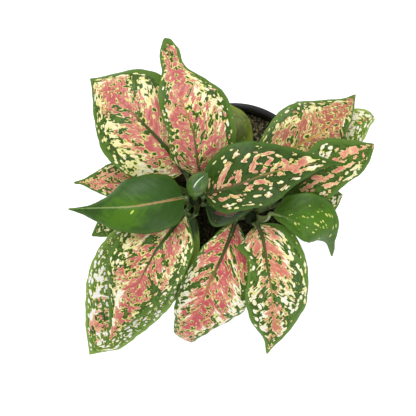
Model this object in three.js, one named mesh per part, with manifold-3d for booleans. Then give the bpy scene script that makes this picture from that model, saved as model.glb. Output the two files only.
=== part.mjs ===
// Potted Chinese evergreen: two short canes of pink-flecked leaves in a black nursery pot.
// Millimetres, +Z up, origin at the middle of the pot's underside. +Y is the back of the plant, +X its right.
import * as THREE from "three";
import { mergeVertices } from "three/addons/utils/BufferGeometryUtils.js";
import Module from "manifold-3d";

const wasm = await Module();
wasm.setup();

// Driving dimensions
const gap = 0.3; // left between pieces that touch
const faceting = 0.07; // added to a clearance, because a faceted cut comes this much closer
const mergeWithin = 1e-4; // points closer than this are one point

const pot = {
  height: 130,
  rimRadius: 75,
  baseRadius: 53,
  wall: 1.8,
  floor: 2.4,
  lipReach: 3.6, // how far the turned-over rim stands out past the wall
  lipDepth: 9, // and how far it hangs down
  lipThickness: 1.7,
  edge: 0.5, // the lip's draft, and the size of its small bevels
  heelBevel: 2, // where the wall meets the underside
  innerBevel: 3, // where it meets the floor inside
  sides: 48,
  drains: 8, // holes through the floor
  drainRadius: 5,
  drainCircle: 38,
};

const soil = {
  top: 116,
  heel: 3, // bevel round its underside
  sides: 40,
  rings: [0.14, 0.3, 0.46, 0.62, 0.78, 0.9, 1], // of its radius
  mound: 3, // higher in the middle than at the wall
  lump: 1.6, // height of the crumbs
};
// Two crossing ripples make the crumbs. Each has its share of the height, and a sine and a cosine, whose three
// numbers are radians per millimetre along x and along y, and where it starts.
const ripples = [
  { share: 0.6, first: [0.21, 0, 1.3], second: [0, 0.19, -0.4] },
  { share: 0.4, first: [0.53, -0.31, 0], second: [0.23, 0.47, 0.8] },
];

// A cane leans from its foot in the soil to its crown, where the leaf stalks leave it.
const stems = [
  { name: "stem_left", foot: [-31, -12, 66], crown: [-36, -15, 160], radius: 7 },
  { name: "stem_right", foot: [17, -21, 66], crown: [15, -33, 156], radius: 6.5 },
];
const stem = {
  sides: 12,
  scarEvery: 9,
  scarHeight: 0.7,
  neck: 0.72, // radius at the crown, of the foot's
};

const blade = {
  thickness: 0.8,
  keel: 1.1, // depth of the midrib under the blade, at its base
  rows: 13,
  firstRow: 0.012, // of the leaf's length
  rowPower: 1.15, // above 1, the rows crowd towards the base
  columns: [-1, -0.55, -0.12, 0, 0.12, 0.55, 1], // from the right margin across the midrib to the left
  curlPower: 1.3, // above 1, a half stays flat beside the midrib and curls towards its margin
  curlShare: 1.6, // the slope at the margin, of the half's curl
  arcSteps: 8, // short chords that make up the arc of a half
  waveShift: 0.3, // turns between the waves of the two margins
};

const stalk = {
  sides: 6,
  steps: 8,
  footRadius: 2.2,
  neckRadius: 1.6,
  footOut: 0.95, // of the cane's radius, from its middle
  climb: 0.5, // how steeply it leaves the cane, as a share of its span
  climbLost: 0.4, // and how much of that goes as it leans out
  pull: 0.18, // how straight it comes in to the blade, as a share of its span
  run: 0.16, // of the blade's length, under it
  runDepths: [1.6, 1.5, 1.2], // below the blade's upper face along that run
  taperFrom: 0.75, // of its whole length, where it starts to thin out
  endRadius: 0.7, // of the neck's, at the end under the blade
};

// A leaf's rib runs from the base of the blade to its tip. Each half has its widths out from the rib, at
// eighths of the length, and at base, middle and tip its rise from the rib and its curl down towards the
// margin, in degrees. The base rounds off over a share of the length. The stalk leaves the cane at foot: its
// direction round the cane in degrees and its height, and lean is how far out it sets off.
const leaves = [
  {
    name: "leaf_back_left",
    stem: 0,
    foot: [118, 148],
    lean: 0.12,
    base: 0.16,
    rib: [[-45, 9, 181], [-60, 29, 194], [-79, 49, 203], [-97, 67, 201], [-112, 80, 192], [-129, 92, 176]],
    left: { widths: [26, 37, 41, 43.6, 43, 37, 27, 14, 1], rise: [18, 6, 2], curl: [6, 16, 12] },
    right: { widths: [24, 32, 37, 40, 42.4, 41.4, 31.4, 13.4, 1], rise: [14, 2, 2], curl: [10, 18, 14] },
    wave: { height: 1.6, count: 2.6, phase: 0.1 },
    color: 0xb98d6b,
  },
  {
    name: "leaf_back",
    stem: 0,
    foot: [66, 153],
    lean: 0.12,
    base: 0.14,
    rib: [[-30, 3, 192], [-33, 18, 204], [-37, 43, 214], [-47, 70, 217], [-55, 99, 208], [-62, 126, 190]],
    left: { widths: [18, 27, 25, 22, 21, 17, 10, 8, 2], rise: [4, 4, 4], curl: [48, 20, 10] },
    right: { widths: [22, 33, 36, 38, 36, 26, 11, 10, 5], rise: [6, 4, 4], curl: [22, 14, 12] },
    wave: { height: 1.5, count: 3.2, phase: 0.35 },
    color: 0xbb8672,
  },
  {
    name: "leaf_old_green",
    stem: 0,
    foot: [38, 134],
    lean: 0.45,
    base: 0.2,
    rib: [[-14, 1, 142], [-4, 23, 149], [1, 48, 152], [-5, 73, 144]],
    left: { widths: [8, 12, 14, 15, 15, 13, 10, 6, 1], rise: [12, 6, 4], curl: [10, 14, 10] },
    right: { widths: [9, 13, 15, 17, 17, 16, 14, 9, 1], rise: [12, 6, 4], curl: [10, 14, 10] },
    wave: { height: 0.8, count: 2, phase: 0.2 },
    color: 0x64803a,
  },
  {
    name: "leaf_back_right",
    stem: 1,
    foot: [100, 142],
    lean: 0.12,
    base: 0.16,
    rib: [[20, 0, 178], [36, 19, 187], [57, 33, 190], [75, 43, 186], [93, 61, 175], [110, 80, 158]],
    left: { widths: [6, 16, 26, 34, 35, 34, 21.6, 8, 1], rise: [14, 6, 4], curl: [10, 16, 12] },
    right: { widths: [16, 25, 31, 33, 32, 26, 15, 9, 1], rise: [8, -2, 0], curl: [16, 18, 12] },
    wave: { height: 1.4, count: 3, phase: 0.6 },
    color: 0xb08a68,
  },
  {
    name: "leaf_back_right_low",
    stem: 1,
    foot: [62, 134],
    lean: 0.45,
    base: 0.18,
    rib: [[43, 4, 160], [66, 22, 168], [91, 40, 166], [116, 55, 156], [128, 60, 147], [130, 61, 134]],
    left: { widths: [14, 22, 26, 27, 24, 19, 15, 8, 1], rise: [12, 4, 2], curl: [10, 16, 20] },
    right: { widths: [14, 22, 25, 26, 23, 19, 13, 4, 1], rise: [12, 4, 2], curl: [10, 16, 20] },
    wave: { height: 1.2, count: 2.4, phase: 0.4 },
    color: 0xc3bf8f,
  },
  {
    name: "leaf_top_right",
    stem: 0,
    foot: [12, 157],
    lean: 0.12,
    base: 0.13,
    rib: [
      [-27, -12, 203], [-14, -8, 213], [7, -1, 221], [23, 5, 223],
      [41, 10, 220], [57, 13, 215], [77, 16, 208], [96, 15, 199],
    ],
    left: { widths: [20, 27, 34, 33, 26, 18, 10, 3, 0.8], rise: [14, 4, 2], curl: [12, 16, 10] },
    right: { widths: [20, 22, 24, 27, 25, 16, 9, 3, 0.8], rise: [10, 0, 2], curl: [22, 24, 12] },
    wave: { height: 1, count: 2.2, phase: 0.7 },
    color: 0x6d7a45,
  },
  {
    name: "leaf_right",
    stem: 1,
    foot: [38, 147],
    lean: 0.12,
    base: 0.16,
    rib: [[40, -13, 184], [55, -3, 191], [73, 9, 196], [96, 21, 190], [124, 34, 174]],
    left: { widths: [10, 14, 16, 19, 23, 22, 14, 8, 1], rise: [14, 4, 2], curl: [10, 14, 10] },
    right: { widths: [13, 22, 26, 26, 24, 21, 20, 14.5, 3], rise: [8, 0, 0], curl: [14, 16, 12] },
    wave: { height: 1.2, count: 2.8, phase: 0.15 },
    color: 0x8b8a5c,
  },
  {
    name: "leaf_right_low",
    stem: 1,
    foot: [15, 131],
    lean: 0.45,
    base: 0.2,
    rib: [[45, -19, 150], [64, -18, 156], [82, -15, 154], [100, -11, 144]],
    left: { widths: [8, 12, 15, 16, 16, 15, 13, 8, 1], rise: [10, 4, 2], curl: [8, 12, 10] },
    right: { widths: [8, 12, 15, 17, 17, 16, 14, 9, 1], rise: [10, 4, 2], curl: [8, 12, 10] },
    wave: { height: 0.8, count: 2, phase: 0.5 },
    color: 0xc5c295,
  },
  {
    name: "leaf_shaded",
    stem: 0,
    foot: [-45, 146],
    lean: 0.12,
    base: 0.2,
    rib: [[-26, -20, 176], [-12, -22, 181], [4, -23, 179], [17, -23, 171]],
    left: { widths: [10, 13, 15, 15, 13, 11, 8, 4, 1], rise: [10, 4, 2], curl: [8, 14, 10] },
    right: { widths: [11, 17, 19, 18, 16, 12, 8, 4, 1], rise: [6, 0, 2], curl: [16, 22, 12] },
    wave: { height: 1, count: 2, phase: 0.3 },
    color: 0x4d5a38,
  },
  {
    name: "leaf_green_right",
    stem: 1,
    foot: [-15, 152],
    lean: 0.3,
    base: 0.12,
    rib: [[33, -28, 193], [45, -32, 202], [60, -38, 206], [75, -43, 199], [83, -50, 186], [88, -67, 162]],
    left: { widths: [12, 20, 27, 28, 25, 15.5, 4.5, 3, 0.8], rise: [14, 6, 6], curl: [8, 14, 10] },
    right: { widths: [6, 7, 11, 14.5, 14.5, 10, 5, 2.5, 0.8], rise: [-12, -14, -8], curl: [10, 12, 10] },
    wave: { height: 0.8, count: 2, phase: 0.6 },
    color: 0x4f7a2e,
  },
  {
    name: "leaf_green_left",
    stem: 0,
    foot: [180, 157],
    lean: 0.12,
    base: 0.1,
    rib: [[-45, -14, 203], [-65, -18, 213], [-90, -22, 216], [-117, -23, 208], [-147, -24, 190]],
    left: { widths: [18, 23, 26, 26, 23, 19, 12, 5, 0.8], rise: [12, 4, 4], curl: [20, 30, 20] },
    right: { widths: [20, 24, 27, 27, 25, 12, 4.2, 1.4, 0.8], rise: [12, 4, 4], curl: [24, 34, 20] },
    wave: { height: 0.7, count: 2, phase: 0.1 },
    color: 0x41702f,
  },
  {
    name: "leaf_left_low",
    stem: 0,
    foot: [150, 138],
    lean: 0.45,
    base: 0.2,
    rib: [[-67, 0, 158], [-94, 0, 165], [-121, -1, 162], [-147, 0, 148]],
    left: { widths: [8, 13, 16, 17, 14.6, 10.4, 6.4, 2, 1], rise: [12, 6, 4], curl: [8, 12, 10] },
    right: { widths: [8, 14, 18, 20, 18.6, 15.2, 9.2, 3.8, 1], rise: [12, 6, 4], curl: [8, 12, 10] },
    wave: { height: 0.8, count: 2.4, phase: 0.8 },
    color: 0xb98d6b,
  },
  {
    name: "leaf_left_lowest",
    stem: 0,
    foot: [205, 132],
    lean: 0.45,
    base: 0.2,
    rib: [[-70, -19, 143], [-91, -29, 150], [-112, -40, 147], [-132, -49, 136]],
    left: { widths: [8, 12, 15, 16, 15, 12, 8, 4.5, 1], rise: [10, 4, 2], curl: [8, 12, 10] },
    right: { widths: [8, 12, 15, 17, 17, 16, 14, 8, 1], rise: [10, 4, 2], curl: [8, 12, 10] },
    wave: { height: 0.8, count: 2, phase: 0.45 },
    color: 0x9fa05f,
  },
  {
    name: "leaf_front_left",
    stem: 0,
    foot: [232, 148],
    lean: 0.12,
    base: 0.16,
    rib: [
      [-45, -28, 184], [-57, -44, 193], [-69, -60, 197], [-80, -80, 194],
      [-90, -101, 185], [-103, -125, 171], [-118, -150, 154],
    ],
    left: { widths: [13, 25, 31, 32.6, 28.4, 20, 11, 4.4, 1], rise: [12, 4, 4], curl: [12, 18, 12] },
    right: { widths: [16, 27, 33, 36, 34, 25, 14, 5, 1], rise: [10, 2, 4], curl: [12, 18, 12] },
    wave: { height: 1.5, count: 2.6, phase: 0.75 },
    color: 0xb98d6b,
  },
  {
    name: "leaf_front_left_low",
    stem: 0,
    foot: [268, 137],
    lean: 0.45,
    base: 0.16,
    rib: [
      [-37, -30, 160], [-59, -53, 167], [-81, -80, 167],
      [-102, -107, 158], [-119, -133, 144], [-135, -160.4, 127],
    ],
    left: { widths: [18, 28, 34, 38, 39, 36, 30, 22.5, 1.5], rise: [10, 2, 2], curl: [14, 16, 12] },
    right: { widths: [18, 31.4, 42.2, 46.6, 45.6, 38, 27, 14, 1], rise: [10, 2, 2], curl: [14, 16, 12] },
    wave: { height: 1.6, count: 3, phase: 0.2 },
    color: 0xbdb68b,
  },
  {
    name: "leaf_front",
    stem: 1,
    foot: [195, 139],
    lean: 0.45,
    base: 0.14,
    rib: [
      [1, -35, 162], [-3, -46, 172], [-14, -72, 183], [-22, -88, 181],
      [-28, -105, 173], [-34, -127, 156], [-39, -146, 134], [-40, -150, 119],
    ],
    left: { widths: [10, 20, 29, 34.6, 40.4, 36, 17, 5, 1], rise: [-12, -4, 4], curl: [8, 14, 16] },
    right: { widths: [8, 12, 20, 22, 24.4, 24, 20.4, 17.6, 1], rise: [16, 6, 4], curl: [8, 14, 10] },
    wave: { height: 1.5, count: 3.4, phase: 0.55 },
    color: 0xa96c66,
  },
  {
    name: "leaf_front_right",
    stem: 1,
    foot: [290, 146],
    lean: 0.12,
    base: 0.14,
    rib: [[20, -38, 180], [24, -49, 189], [28, -75, 193], [32, -96, 187], [34, -128, 169], [30, -157, 147]],
    left: { widths: [16, 28, 34.2, 35.4, 33, 30, 18.6, 8, 1], rise: [10, 4, 4], curl: [12, 18, 12] },
    right: { widths: [30, 27, 17, 20.6, 24.5, 23, 17.6, 6, 1], rise: [4, 4, 4], curl: [34, 20, 10] },
    wave: { height: 1.4, count: 2.8, phase: 0.9 },
    color: 0xb4946c,
  },
];

// The youngest leaf is still rolled. Its stalk rises from the left cane's crown.
const youngLeaf = {
  name: "leaf_unfurling",
  path: [
    [-36, -14.5, 158], [-35.5, -13, 180], [-35.5, -9, 202],
    [-33.5, -3.5, 219], [-29.5, 1.5, 231], [-24.4, 5.6, 241],
  ],
  radii: [2.2, 2.2, 2.4, 3.2, 7, 8.6, 6.8, 0.5], // at even steps along the path
  turns: 0.3, // how far the outer edge winds round
  step: 0.9, // how far that edge stands out
  stepShare: 0.16, // and at most this share of the radius
  sides: 14,
  rows: 18,
  color: 0x4b8a42,
};

const colors = { pot: 0x1d1e20, soil: 0x2b231c, stem: 0x5a6b3a };

// Small helpers
const up = new THREE.Vector3(0, 0, 1);
const vector = (point) => new THREE.Vector3(...point);
const spline = (points) => new THREE.CatmullRomCurve3(points.map(vector), false, "centripetal");
const material = (color, roughness) => new THREE.MeshStandardMaterial({ color, roughness, metalness: 0 });

// The value at t (0 to 1) of a smooth curve through numbers at even steps.
function along(numbers, t) {
  const place = Math.min(Math.max(t, 0), 1) * (numbers.length - 1);
  const i = Math.min(Math.floor(place), numbers.length - 2);
  const f = place - i;
  const before = numbers[Math.max(i - 1, 0)];
  const after = numbers[Math.min(i + 2, numbers.length - 1)];
  const slopeIn = (numbers[i + 1] - before) / 2;
  const slopeOut = (after - numbers[i]) / 2;
  const rest = 3 * (numbers[i + 1] - numbers[i]) - 2 * slopeIn - slopeOut;
  const bend = 2 * (numbers[i] - numbers[i + 1]) + slopeIn + slopeOut;
  return numbers[i] + f * (slopeIn + f * (rest + f * bend));
}

function geometryOf(points, triangles) {
  const geometry = new THREE.BufferGeometry();
  geometry.setAttribute("position", new THREE.Float32BufferAttribute(points.flatMap((p) => p.toArray()), 3));
  geometry.setIndex(triangles.flat());
  return geometry;
}

function solidOf(geometry) {
  const bare = geometry.clone();
  bare.deleteAttribute("normal");
  bare.deleteAttribute("uv");
  const merged = mergeVertices(bare, mergeWithin);
  const triVerts = Uint32Array.from(merged.index.array);
  const vertProperties = Float32Array.from(merged.attributes.position.array);
  return new wasm.Manifold(new wasm.Mesh({ numProp: 3, vertProperties, triVerts }));
}

function geometryFrom(solid) {
  const mesh = solid.getMesh();
  const geometry = new THREE.BufferGeometry();
  geometry.setAttribute("position", new THREE.BufferAttribute(mesh.vertProperties, 3));
  geometry.setIndex(new THREE.BufferAttribute(mesh.triVerts, 1));
  geometry.computeVertexNormals();
  return geometry;
}

// Joins rings of points, all with the same count, into one solid with a flat fan at each end.
// Seen along the path, each ring turns anticlockwise.
function loft(rings) {
  const count = rings[0].length;
  const points = rings.flat();
  const triangles = [];
  for (let i = 0; i < rings.length - 1; i++) {
    for (let j = 0; j < count; j++) {
      const a = i * count + j;
      const b = i * count + ((j + 1) % count);
      triangles.push([a, b, b + count], [a, b + count, a + count]);
    }
  }
  const last = (rings.length - 1) * count;
  for (let j = 1; j < count - 1; j++) {
    triangles.push([0, j + 1, j], [last, last + j, last + j + 1]);
  }
  return geometryOf(points, triangles);
}

// A round or shaped bar along a curve. reach(t, angle) is its radius.
function bar(curve, steps, sides, reach) {
  const frames = curve.computeFrenetFrames(steps, false);
  const rings = [];
  for (let i = 0; i <= steps; i++) {
    const t = i / steps;
    const centre = curve.getPointAt(t);
    const ring = [];
    for (let j = 0; j < sides; j++) {
      const angle = (2 * Math.PI * j) / sides;
      const r = reach(t, angle);
      const point = centre.clone();
      point.addScaledVector(frames.normals[i], r * Math.cos(angle));
      point.addScaledVector(frames.binormals[i], r * Math.sin(angle));
      ring.push(point);
    }
    rings.push(ring);
  }
  return loft(rings);
}

// Pot
// The radius of the wall's outer face at a height.
function potOuter(z) {
  return pot.baseRadius + ((pot.rimRadius - pot.lipReach - pot.baseRadius) * z) / pot.height;
}

function potInner(z) {
  return potOuter(z) - pot.wall;
}

function potProfile() {
  const { height, rimRadius, floor, lipDepth, lipThickness, edge, heelBevel, innerBevel } = pot;
  const lipFoot = height - lipDepth;
  const lipRoof = height - lipThickness;
  return [
    [0, 0],
    [potOuter(0) - heelBevel, 0],
    [potOuter(heelBevel), heelBevel],
    [potOuter(lipRoof), lipRoof],
    [rimRadius - lipThickness, lipRoof],
    [rimRadius - lipThickness - edge, lipFoot],
    [rimRadius - edge, lipFoot],
    [rimRadius, height - 2 * edge],
    [rimRadius - 2 * edge, height],
    [potInner(height) + edge, height],
    [potInner(height - 2 * edge), height - 2 * edge],
    [potInner(floor + innerBevel), floor + innerBevel],
    [potInner(floor) - innerBevel, floor],
    [0, floor],
  ].map(([r, z]) => new THREE.Vector2(r, z));
}

function lathe(profile, sides) {
  const geometry = new THREE.LatheGeometry(profile, sides);
  geometry.rotateX(Math.PI / 2);
  return geometry;
}

function makePot() {
  let body = solidOf(lathe(potProfile(), pot.sides));
  for (let i = 0; i < pot.drains; i++) {
    const angle = (2 * Math.PI * (i + 0.5)) / pot.drains;
    const drill = new THREE.CylinderGeometry(pot.drainRadius, pot.drainRadius, 3 * pot.floor, 12);
    drill.rotateX(Math.PI / 2);
    drill.translate(pot.drainCircle * Math.cos(angle), pot.drainCircle * Math.sin(angle), pot.floor / 2);
    body = body.subtract(solidOf(drill));
  }
  return geometryFrom(body);
}

// Stems
function stemCurve({ foot, crown }) {
  const middle = [foot[0], foot[1], (foot[2] + crown[2]) / 2];
  return new THREE.QuadraticBezierCurve3(vector(foot), vector(middle), vector(crown));
}

// A ringed cane. grow makes it thicker, to cut clearance for it in what it touches.
function stemSolid(cane, grow) {
  const length = cane.crown[2] - cane.foot[2];
  const steps = 2 * Math.round(length / stem.scarEvery);
  const reach = (t) => {
    const ring = Math.round(t * steps) % 2 ? 0 : stem.scarHeight;
    return cane.radius * (1 + (stem.neck - 1) * t) + ring + grow;
  };
  const curve = stemCurve(cane);
  if (grow > 0) {
    const below = curve.getPointAt(0).addScaledVector(up, -grow);
    const above = curve.getPointAt(1).addScaledVector(up, grow);
    const longer = new THREE.QuadraticBezierCurve3(below, curve.v1, above);
    return solidOf(bar(longer, steps, stem.sides, reach));
  }
  return solidOf(bar(curve, steps, stem.sides, reach));
}

// Soil
function crumbs(x, y) {
  const turn = ([alongX, alongY, start]) => alongX * x + alongY * y + start;
  let height = 0;
  for (const { share, first, second } of ripples) {
    height += share * Math.sin(turn(first)) * Math.cos(turn(second));
  }
  return soil.lump * height;
}

function makeSoil(clearances) {
  const radiusAt = (z) => potInner(z) - 2 * gap;
  const bottom = pot.floor + gap;
  const ringOf = (radius, height) => {
    const ring = [];
    for (let j = 0; j < soil.sides; j++) {
      const angle = (2 * Math.PI * j) / soil.sides;
      const x = radius * Math.cos(angle);
      const y = radius * Math.sin(angle);
      ring.push(new THREE.Vector3(x, y, height(x, y)));
    }
    return ring;
  };
  const topRadius = radiusAt(soil.top - soil.mound - gap);
  const topHeight = (x, y) => {
    const out = Math.hypot(x, y) / topRadius;
    return soil.top + soil.mound * (1 - out * out) + crumbs(x, y) * (1 - out ** 6);
  };
  const rings = [
    ringOf(radiusAt(bottom) - soil.heel, () => bottom),
    ringOf(radiusAt(bottom + soil.heel), () => bottom + soil.heel + gap),
  ];
  for (const share of [...soil.rings].reverse()) {
    rings.push(ringOf(topRadius * share, topHeight));
  }
  let body = solidOf(loft(rings));
  for (const clearance of clearances) {
    body = body.subtract(clearance);
  }
  return geometryFrom(body);
}

// Leaves
function ribFrame(rib, u) {
  const forward = rib.getTangentAt(u);
  const flat = new THREE.Vector3(forward.x, forward.y, 0);
  const side = new THREE.Vector3().crossVectors(up, flat).normalize();
  const normal = new THREE.Vector3().crossVectors(forward, side).normalize();
  return { centre: rib.getPointAt(u), forward, side, normal };
}

// A point of the upper face: u runs from base to tip, and v from -1 at the right margin to 1 at the left.
function bladePoint(leaf, rib, u, v) {
  const { centre, side, normal } = ribFrame(rib, u);
  const half = v < 0 ? leaf.right : leaf.left;
  const rounded = u < leaf.base ? Math.sqrt(1 - (1 - u / leaf.base) ** 2) : 1;
  const width = along(half.widths, u) * rounded;
  const rise = THREE.MathUtils.degToRad(along(half.rise, u));
  const curl = THREE.MathUtils.degToRad(along(half.curl, u));
  const share = Math.abs(v);
  const chord = (width * share) / blade.arcSteps;
  let out = 0;
  let lift = 0;
  for (let i = 0; i < blade.arcSteps; i++) {
    const outward = (share * (i + 0.5)) / blade.arcSteps;
    const angle = rise - curl * blade.curlShare * outward ** blade.curlPower;
    out += chord * Math.cos(angle);
    lift += chord * Math.sin(angle);
  }
  const { height, count, phase } = leaf.wave;
  const turn = 2 * Math.PI * (count * u + phase + (v < 0 ? blade.waveShift : 0));
  lift += height * share * share * Math.sin(turn) * Math.sin(Math.PI * u);
  return centre.addScaledVector(side, Math.sign(v) * out).addScaledVector(normal, lift);
}

function bladeNormal(leaf, rib, u, v) {
  const small = 0.01;
  const ahead = bladePoint(leaf, rib, Math.min(u + small, 1), v);
  const behind = bladePoint(leaf, rib, Math.max(u - small, blade.firstRow), v);
  const left = bladePoint(leaf, rib, u, Math.min(v + small, 1));
  const right = bladePoint(leaf, rib, u, Math.max(v - small, -1));
  return ahead.sub(behind).cross(left.sub(right)).normalize();
}

// A closed slab between an upper and a lower grid of points, split into triangles alike on both faces.
function slab(upper, lower) {
  const rows = upper.length;
  const columns = upper[0].length;
  const points = [...upper.flat(), ...lower.flat()];
  const below = rows * columns;
  const at = (i, j) => i * columns + j;
  const triangles = [];
  for (let i = 0; i < rows - 1; i++) {
    for (let j = 0; j < columns - 1; j++) {
      const [a, b, c, d] = [at(i, j), at(i + 1, j), at(i + 1, j + 1), at(i, j + 1)];
      const halves = j < (columns - 1) / 2 ? [[a, b, d], [b, c, d]] : [[a, b, c], [a, c, d]];
      for (const [p, q, r] of halves) {
        triangles.push([p, q, r], [below + p, below + r, below + q]);
      }
    }
  }
  const acrossRow = [...Array(columns - 1).keys()];
  const downColumn = [...Array(rows - 1).keys()];
  const edge = [
    ...acrossRow.map((j) => at(0, j)),
    ...downColumn.map((i) => at(i, columns - 1)),
    ...acrossRow.map((j) => at(rows - 1, columns - 1 - j)),
    ...downColumn.map((i) => at(rows - 1 - i, 0)),
  ];
  edge.forEach((p, k) => {
    const q = edge[(k + 1) % edge.length];
    triangles.push([p, q, below + q], [p, below + q, below + p]);
  });
  return geometryOf(points, triangles);
}

function makeBlade(leaf, rib) {
  const upper = [];
  const lower = [];
  for (let i = 0; i <= blade.rows; i++) {
    const u = blade.firstRow + (1 - blade.firstRow) * (i / blade.rows) ** blade.rowPower;
    const top = blade.columns.map((v) => bladePoint(leaf, rib, u, v));
    const bottom = blade.columns.map((v, j) => {
      const keel = v === 0 ? blade.keel * (1 - u) : 0;
      return top[j].clone().addScaledVector(bladeNormal(leaf, rib, u, v), -(blade.thickness + keel));
    });
    upper.push(top);
    lower.push(bottom);
  }
  return solidOf(slab(upper, lower));
}

// The stalk leaves the cane steeply, arches out and runs on under the blade as its midrib.
function stalkCurve(leaf, rib) {
  const cane = stems[leaf.stem];
  const [turn, height] = leaf.foot;
  const angle = THREE.MathUtils.degToRad(turn);
  const away = new THREE.Vector3(Math.cos(angle), Math.sin(angle), 0);
  const start = stemCurve(cane).getPointAt((height - cane.foot[2]) / (cane.crown[2] - cane.foot[2]));
  start.addScaledVector(away, cane.radius * stalk.footOut);
  const base = rib.getPointAt(0);
  const span = start.distanceTo(base);
  const rise = start.clone().addScaledVector(up, (stalk.climb - stalk.climbLost * leaf.lean) * span);
  rise.addScaledVector(away, leaf.lean * span);
  const bend = base.clone().addScaledVector(rib.getTangentAt(0), -stalk.pull * span);
  const points = new THREE.CubicBezierCurve3(start, rise, bend, base).getPoints(stalk.steps - 2);
  const under = (u, depth) => {
    const { centre, normal } = ribFrame(rib, u);
    return centre.addScaledVector(normal, -depth);
  };
  points.pop();
  const [near, middle, far] = stalk.runDepths;
  points.push(under(blade.firstRow, near), under(stalk.run / 2, middle), under(stalk.run, far));
  return new THREE.CatmullRomCurve3(points, false, "centripetal");
}

function makeStalk(leaf, rib) {
  const { footRadius, neckRadius, endRadius, taperFrom } = stalk;
  const reach = (t) => {
    if (t < taperFrom) {
      return THREE.MathUtils.lerp(footRadius, neckRadius, t / taperFrom);
    }
    return neckRadius * THREE.MathUtils.mapLinear(t, taperFrom, 1, 1, endRadius);
  };
  return solidOf(bar(stalkCurve(leaf, rib), stalk.steps + 1, stalk.sides, reach));
}

function makeLeaf(leaf, clearances) {
  const rib = spline(leaf.rib);
  let body = makeBlade(leaf, rib).add(makeStalk(leaf, rib));
  for (const clearance of clearances) {
    body = body.subtract(clearance);
  }
  return geometryFrom(body);
}

function makeYoungLeaf(clearances) {
  const { path, radii, turns, step, stepShare, sides, rows } = youngLeaf;
  const reach = (t, angle) => {
    const share = (angle / (2 * Math.PI) + turns * t) % 1;
    const radius = along(radii, t);
    return radius + Math.min(step, stepShare * radius) * (share - 0.5);
  };
  let body = solidOf(bar(spline(path), rows, sides, reach));
  for (const clearance of clearances) {
    body = body.subtract(clearance);
  }
  return geometryFrom(body);
}

// The whole plant
const plant = new THREE.Group();

function place(name, geometry, color, roughness) {
  const mesh = new THREE.Mesh(geometry, material(color, roughness));
  mesh.name = name;
  plant.add(mesh);
}

const clearances = stems.map((cane) => stemSolid(cane, gap + faceting));
place("pot", makePot(), colors.pot, 0.45);
place("soil", makeSoil(clearances), colors.soil, 0.95);
for (const cane of stems) {
  place(cane.name, geometryFrom(stemSolid(cane, 0)), colors.stem, 0.6);
}
for (const leaf of leaves) {
  place(leaf.name, makeLeaf(leaf, clearances), leaf.color, 0.4);
}
place(youngLeaf.name, makeYoungLeaf(clearances), youngLeaf.color, 0.35);

export default plant;
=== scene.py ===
# Potted Chinese evergreen: pink, cream and green leaves on two short canes in a black nursery pot.
# Metres, +Z up, origin at the middle of the pot's underside. +Y is the back of the plant, +X its right.
import math
import random

import bmesh
import bpy
import numpy as np
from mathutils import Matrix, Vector
from mathutils import noise as hills


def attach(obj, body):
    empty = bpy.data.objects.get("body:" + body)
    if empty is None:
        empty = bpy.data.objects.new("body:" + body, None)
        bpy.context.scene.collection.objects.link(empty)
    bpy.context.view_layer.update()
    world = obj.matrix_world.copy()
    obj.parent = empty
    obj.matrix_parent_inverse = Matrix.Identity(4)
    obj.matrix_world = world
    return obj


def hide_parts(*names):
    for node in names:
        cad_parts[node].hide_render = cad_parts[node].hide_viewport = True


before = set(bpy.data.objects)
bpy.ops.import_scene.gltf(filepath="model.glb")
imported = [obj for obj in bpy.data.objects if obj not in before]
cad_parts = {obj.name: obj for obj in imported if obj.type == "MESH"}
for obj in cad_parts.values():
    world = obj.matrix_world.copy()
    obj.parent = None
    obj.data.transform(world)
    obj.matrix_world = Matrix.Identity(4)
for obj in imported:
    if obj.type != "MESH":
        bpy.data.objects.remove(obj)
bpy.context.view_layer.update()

MM = 0.001

# The view: from straight above. The pot's rim, 150 mm across, is 160.8 px across in the 416 px frame.
RIM_HEIGHT = 130 * MM
PHOTO_WIDTH_PX = 416
RIM_WIDTH_PX = 160.84
RIM_CENTRE_PX = (233.7, 183.2)
PX = 150 * MM / RIM_WIDTH_PX
CAMERA_ABOVE_RIM = 1.0
SENSOR = 36.0

# The blades and stalks are the solids' own, with finer steps. Their tables are in millimetres.
BLADE = {
    "thickness": 0.55, "margin_thickness": 0.35, "keel": 1.1, "keel_width": 1.1, "groove": 0.55,
    "groove_width": 1.3, "quilt": 0.13, "step": 1.15, "row_power": 1.5, "first_row": 0.0015,
    "groove_below": 0.6, "quilt_from": 1, "quilt_to": 8, "margin": 3, "flat_margin": 6,
    "curl_power": 1.3, "curl_share": 1.6, "arc_steps": 8, "wave_shift": 0.3, "tip": 0.03,
}
STALK = {
    "sides": 20, "steps": 60, "foot_radius": 2.2, "neck_radius": 1.6, "foot_out": 0.95, "climb": 0.5,
    "climb_lost": 0.4, "pull": 0.18, "run": 0.16, "run_start": 0.012, "run_depths": (1.6, 1.5, 1.2),
    "taper_from": 0.75, "end_radius": 0.7, "groove": 0.3, "groove_turn": 0.45, "wing_at": 0.95,
    "wing_turn": 0.2, "wing_from": 0.06, "wing_power": 0.7, "inward_up": 0.6, "steps_of_climb": 6,
    "wing_to": 0.5,
}
STEMS = [
    {"name": "stem_left", "foot": (-31, -12, 66), "crown": (-36, -15, 160), "radius": 7},
    {"name": "stem_right", "foot": (17, -21, 66), "crown": (15, -33, 156), "radius": 6.5},
]
STEM = {
    "sides": 40, "rows": 220, "scar_every": 9, "scar_height": 0.7, "scar_width": 0.09, "neck": 0.72,
    "bulge": 0.02,
}
# Small waves at the margins: mm from one to the next, and a second set that is faster and lower.
RUFFLE = {
    "every": 17, "faster": 1.85, "lower": 0.6, "shift": 9, "side_shift": 2.0, "outward": 0.4, "power": 3,
}

# Veins leave the midrib at a slant and bend on towards the tip.
VEIN_SLANT = 0.85
VEIN_BEND = 0.004
VEIN_EVERY = 8.5


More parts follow.
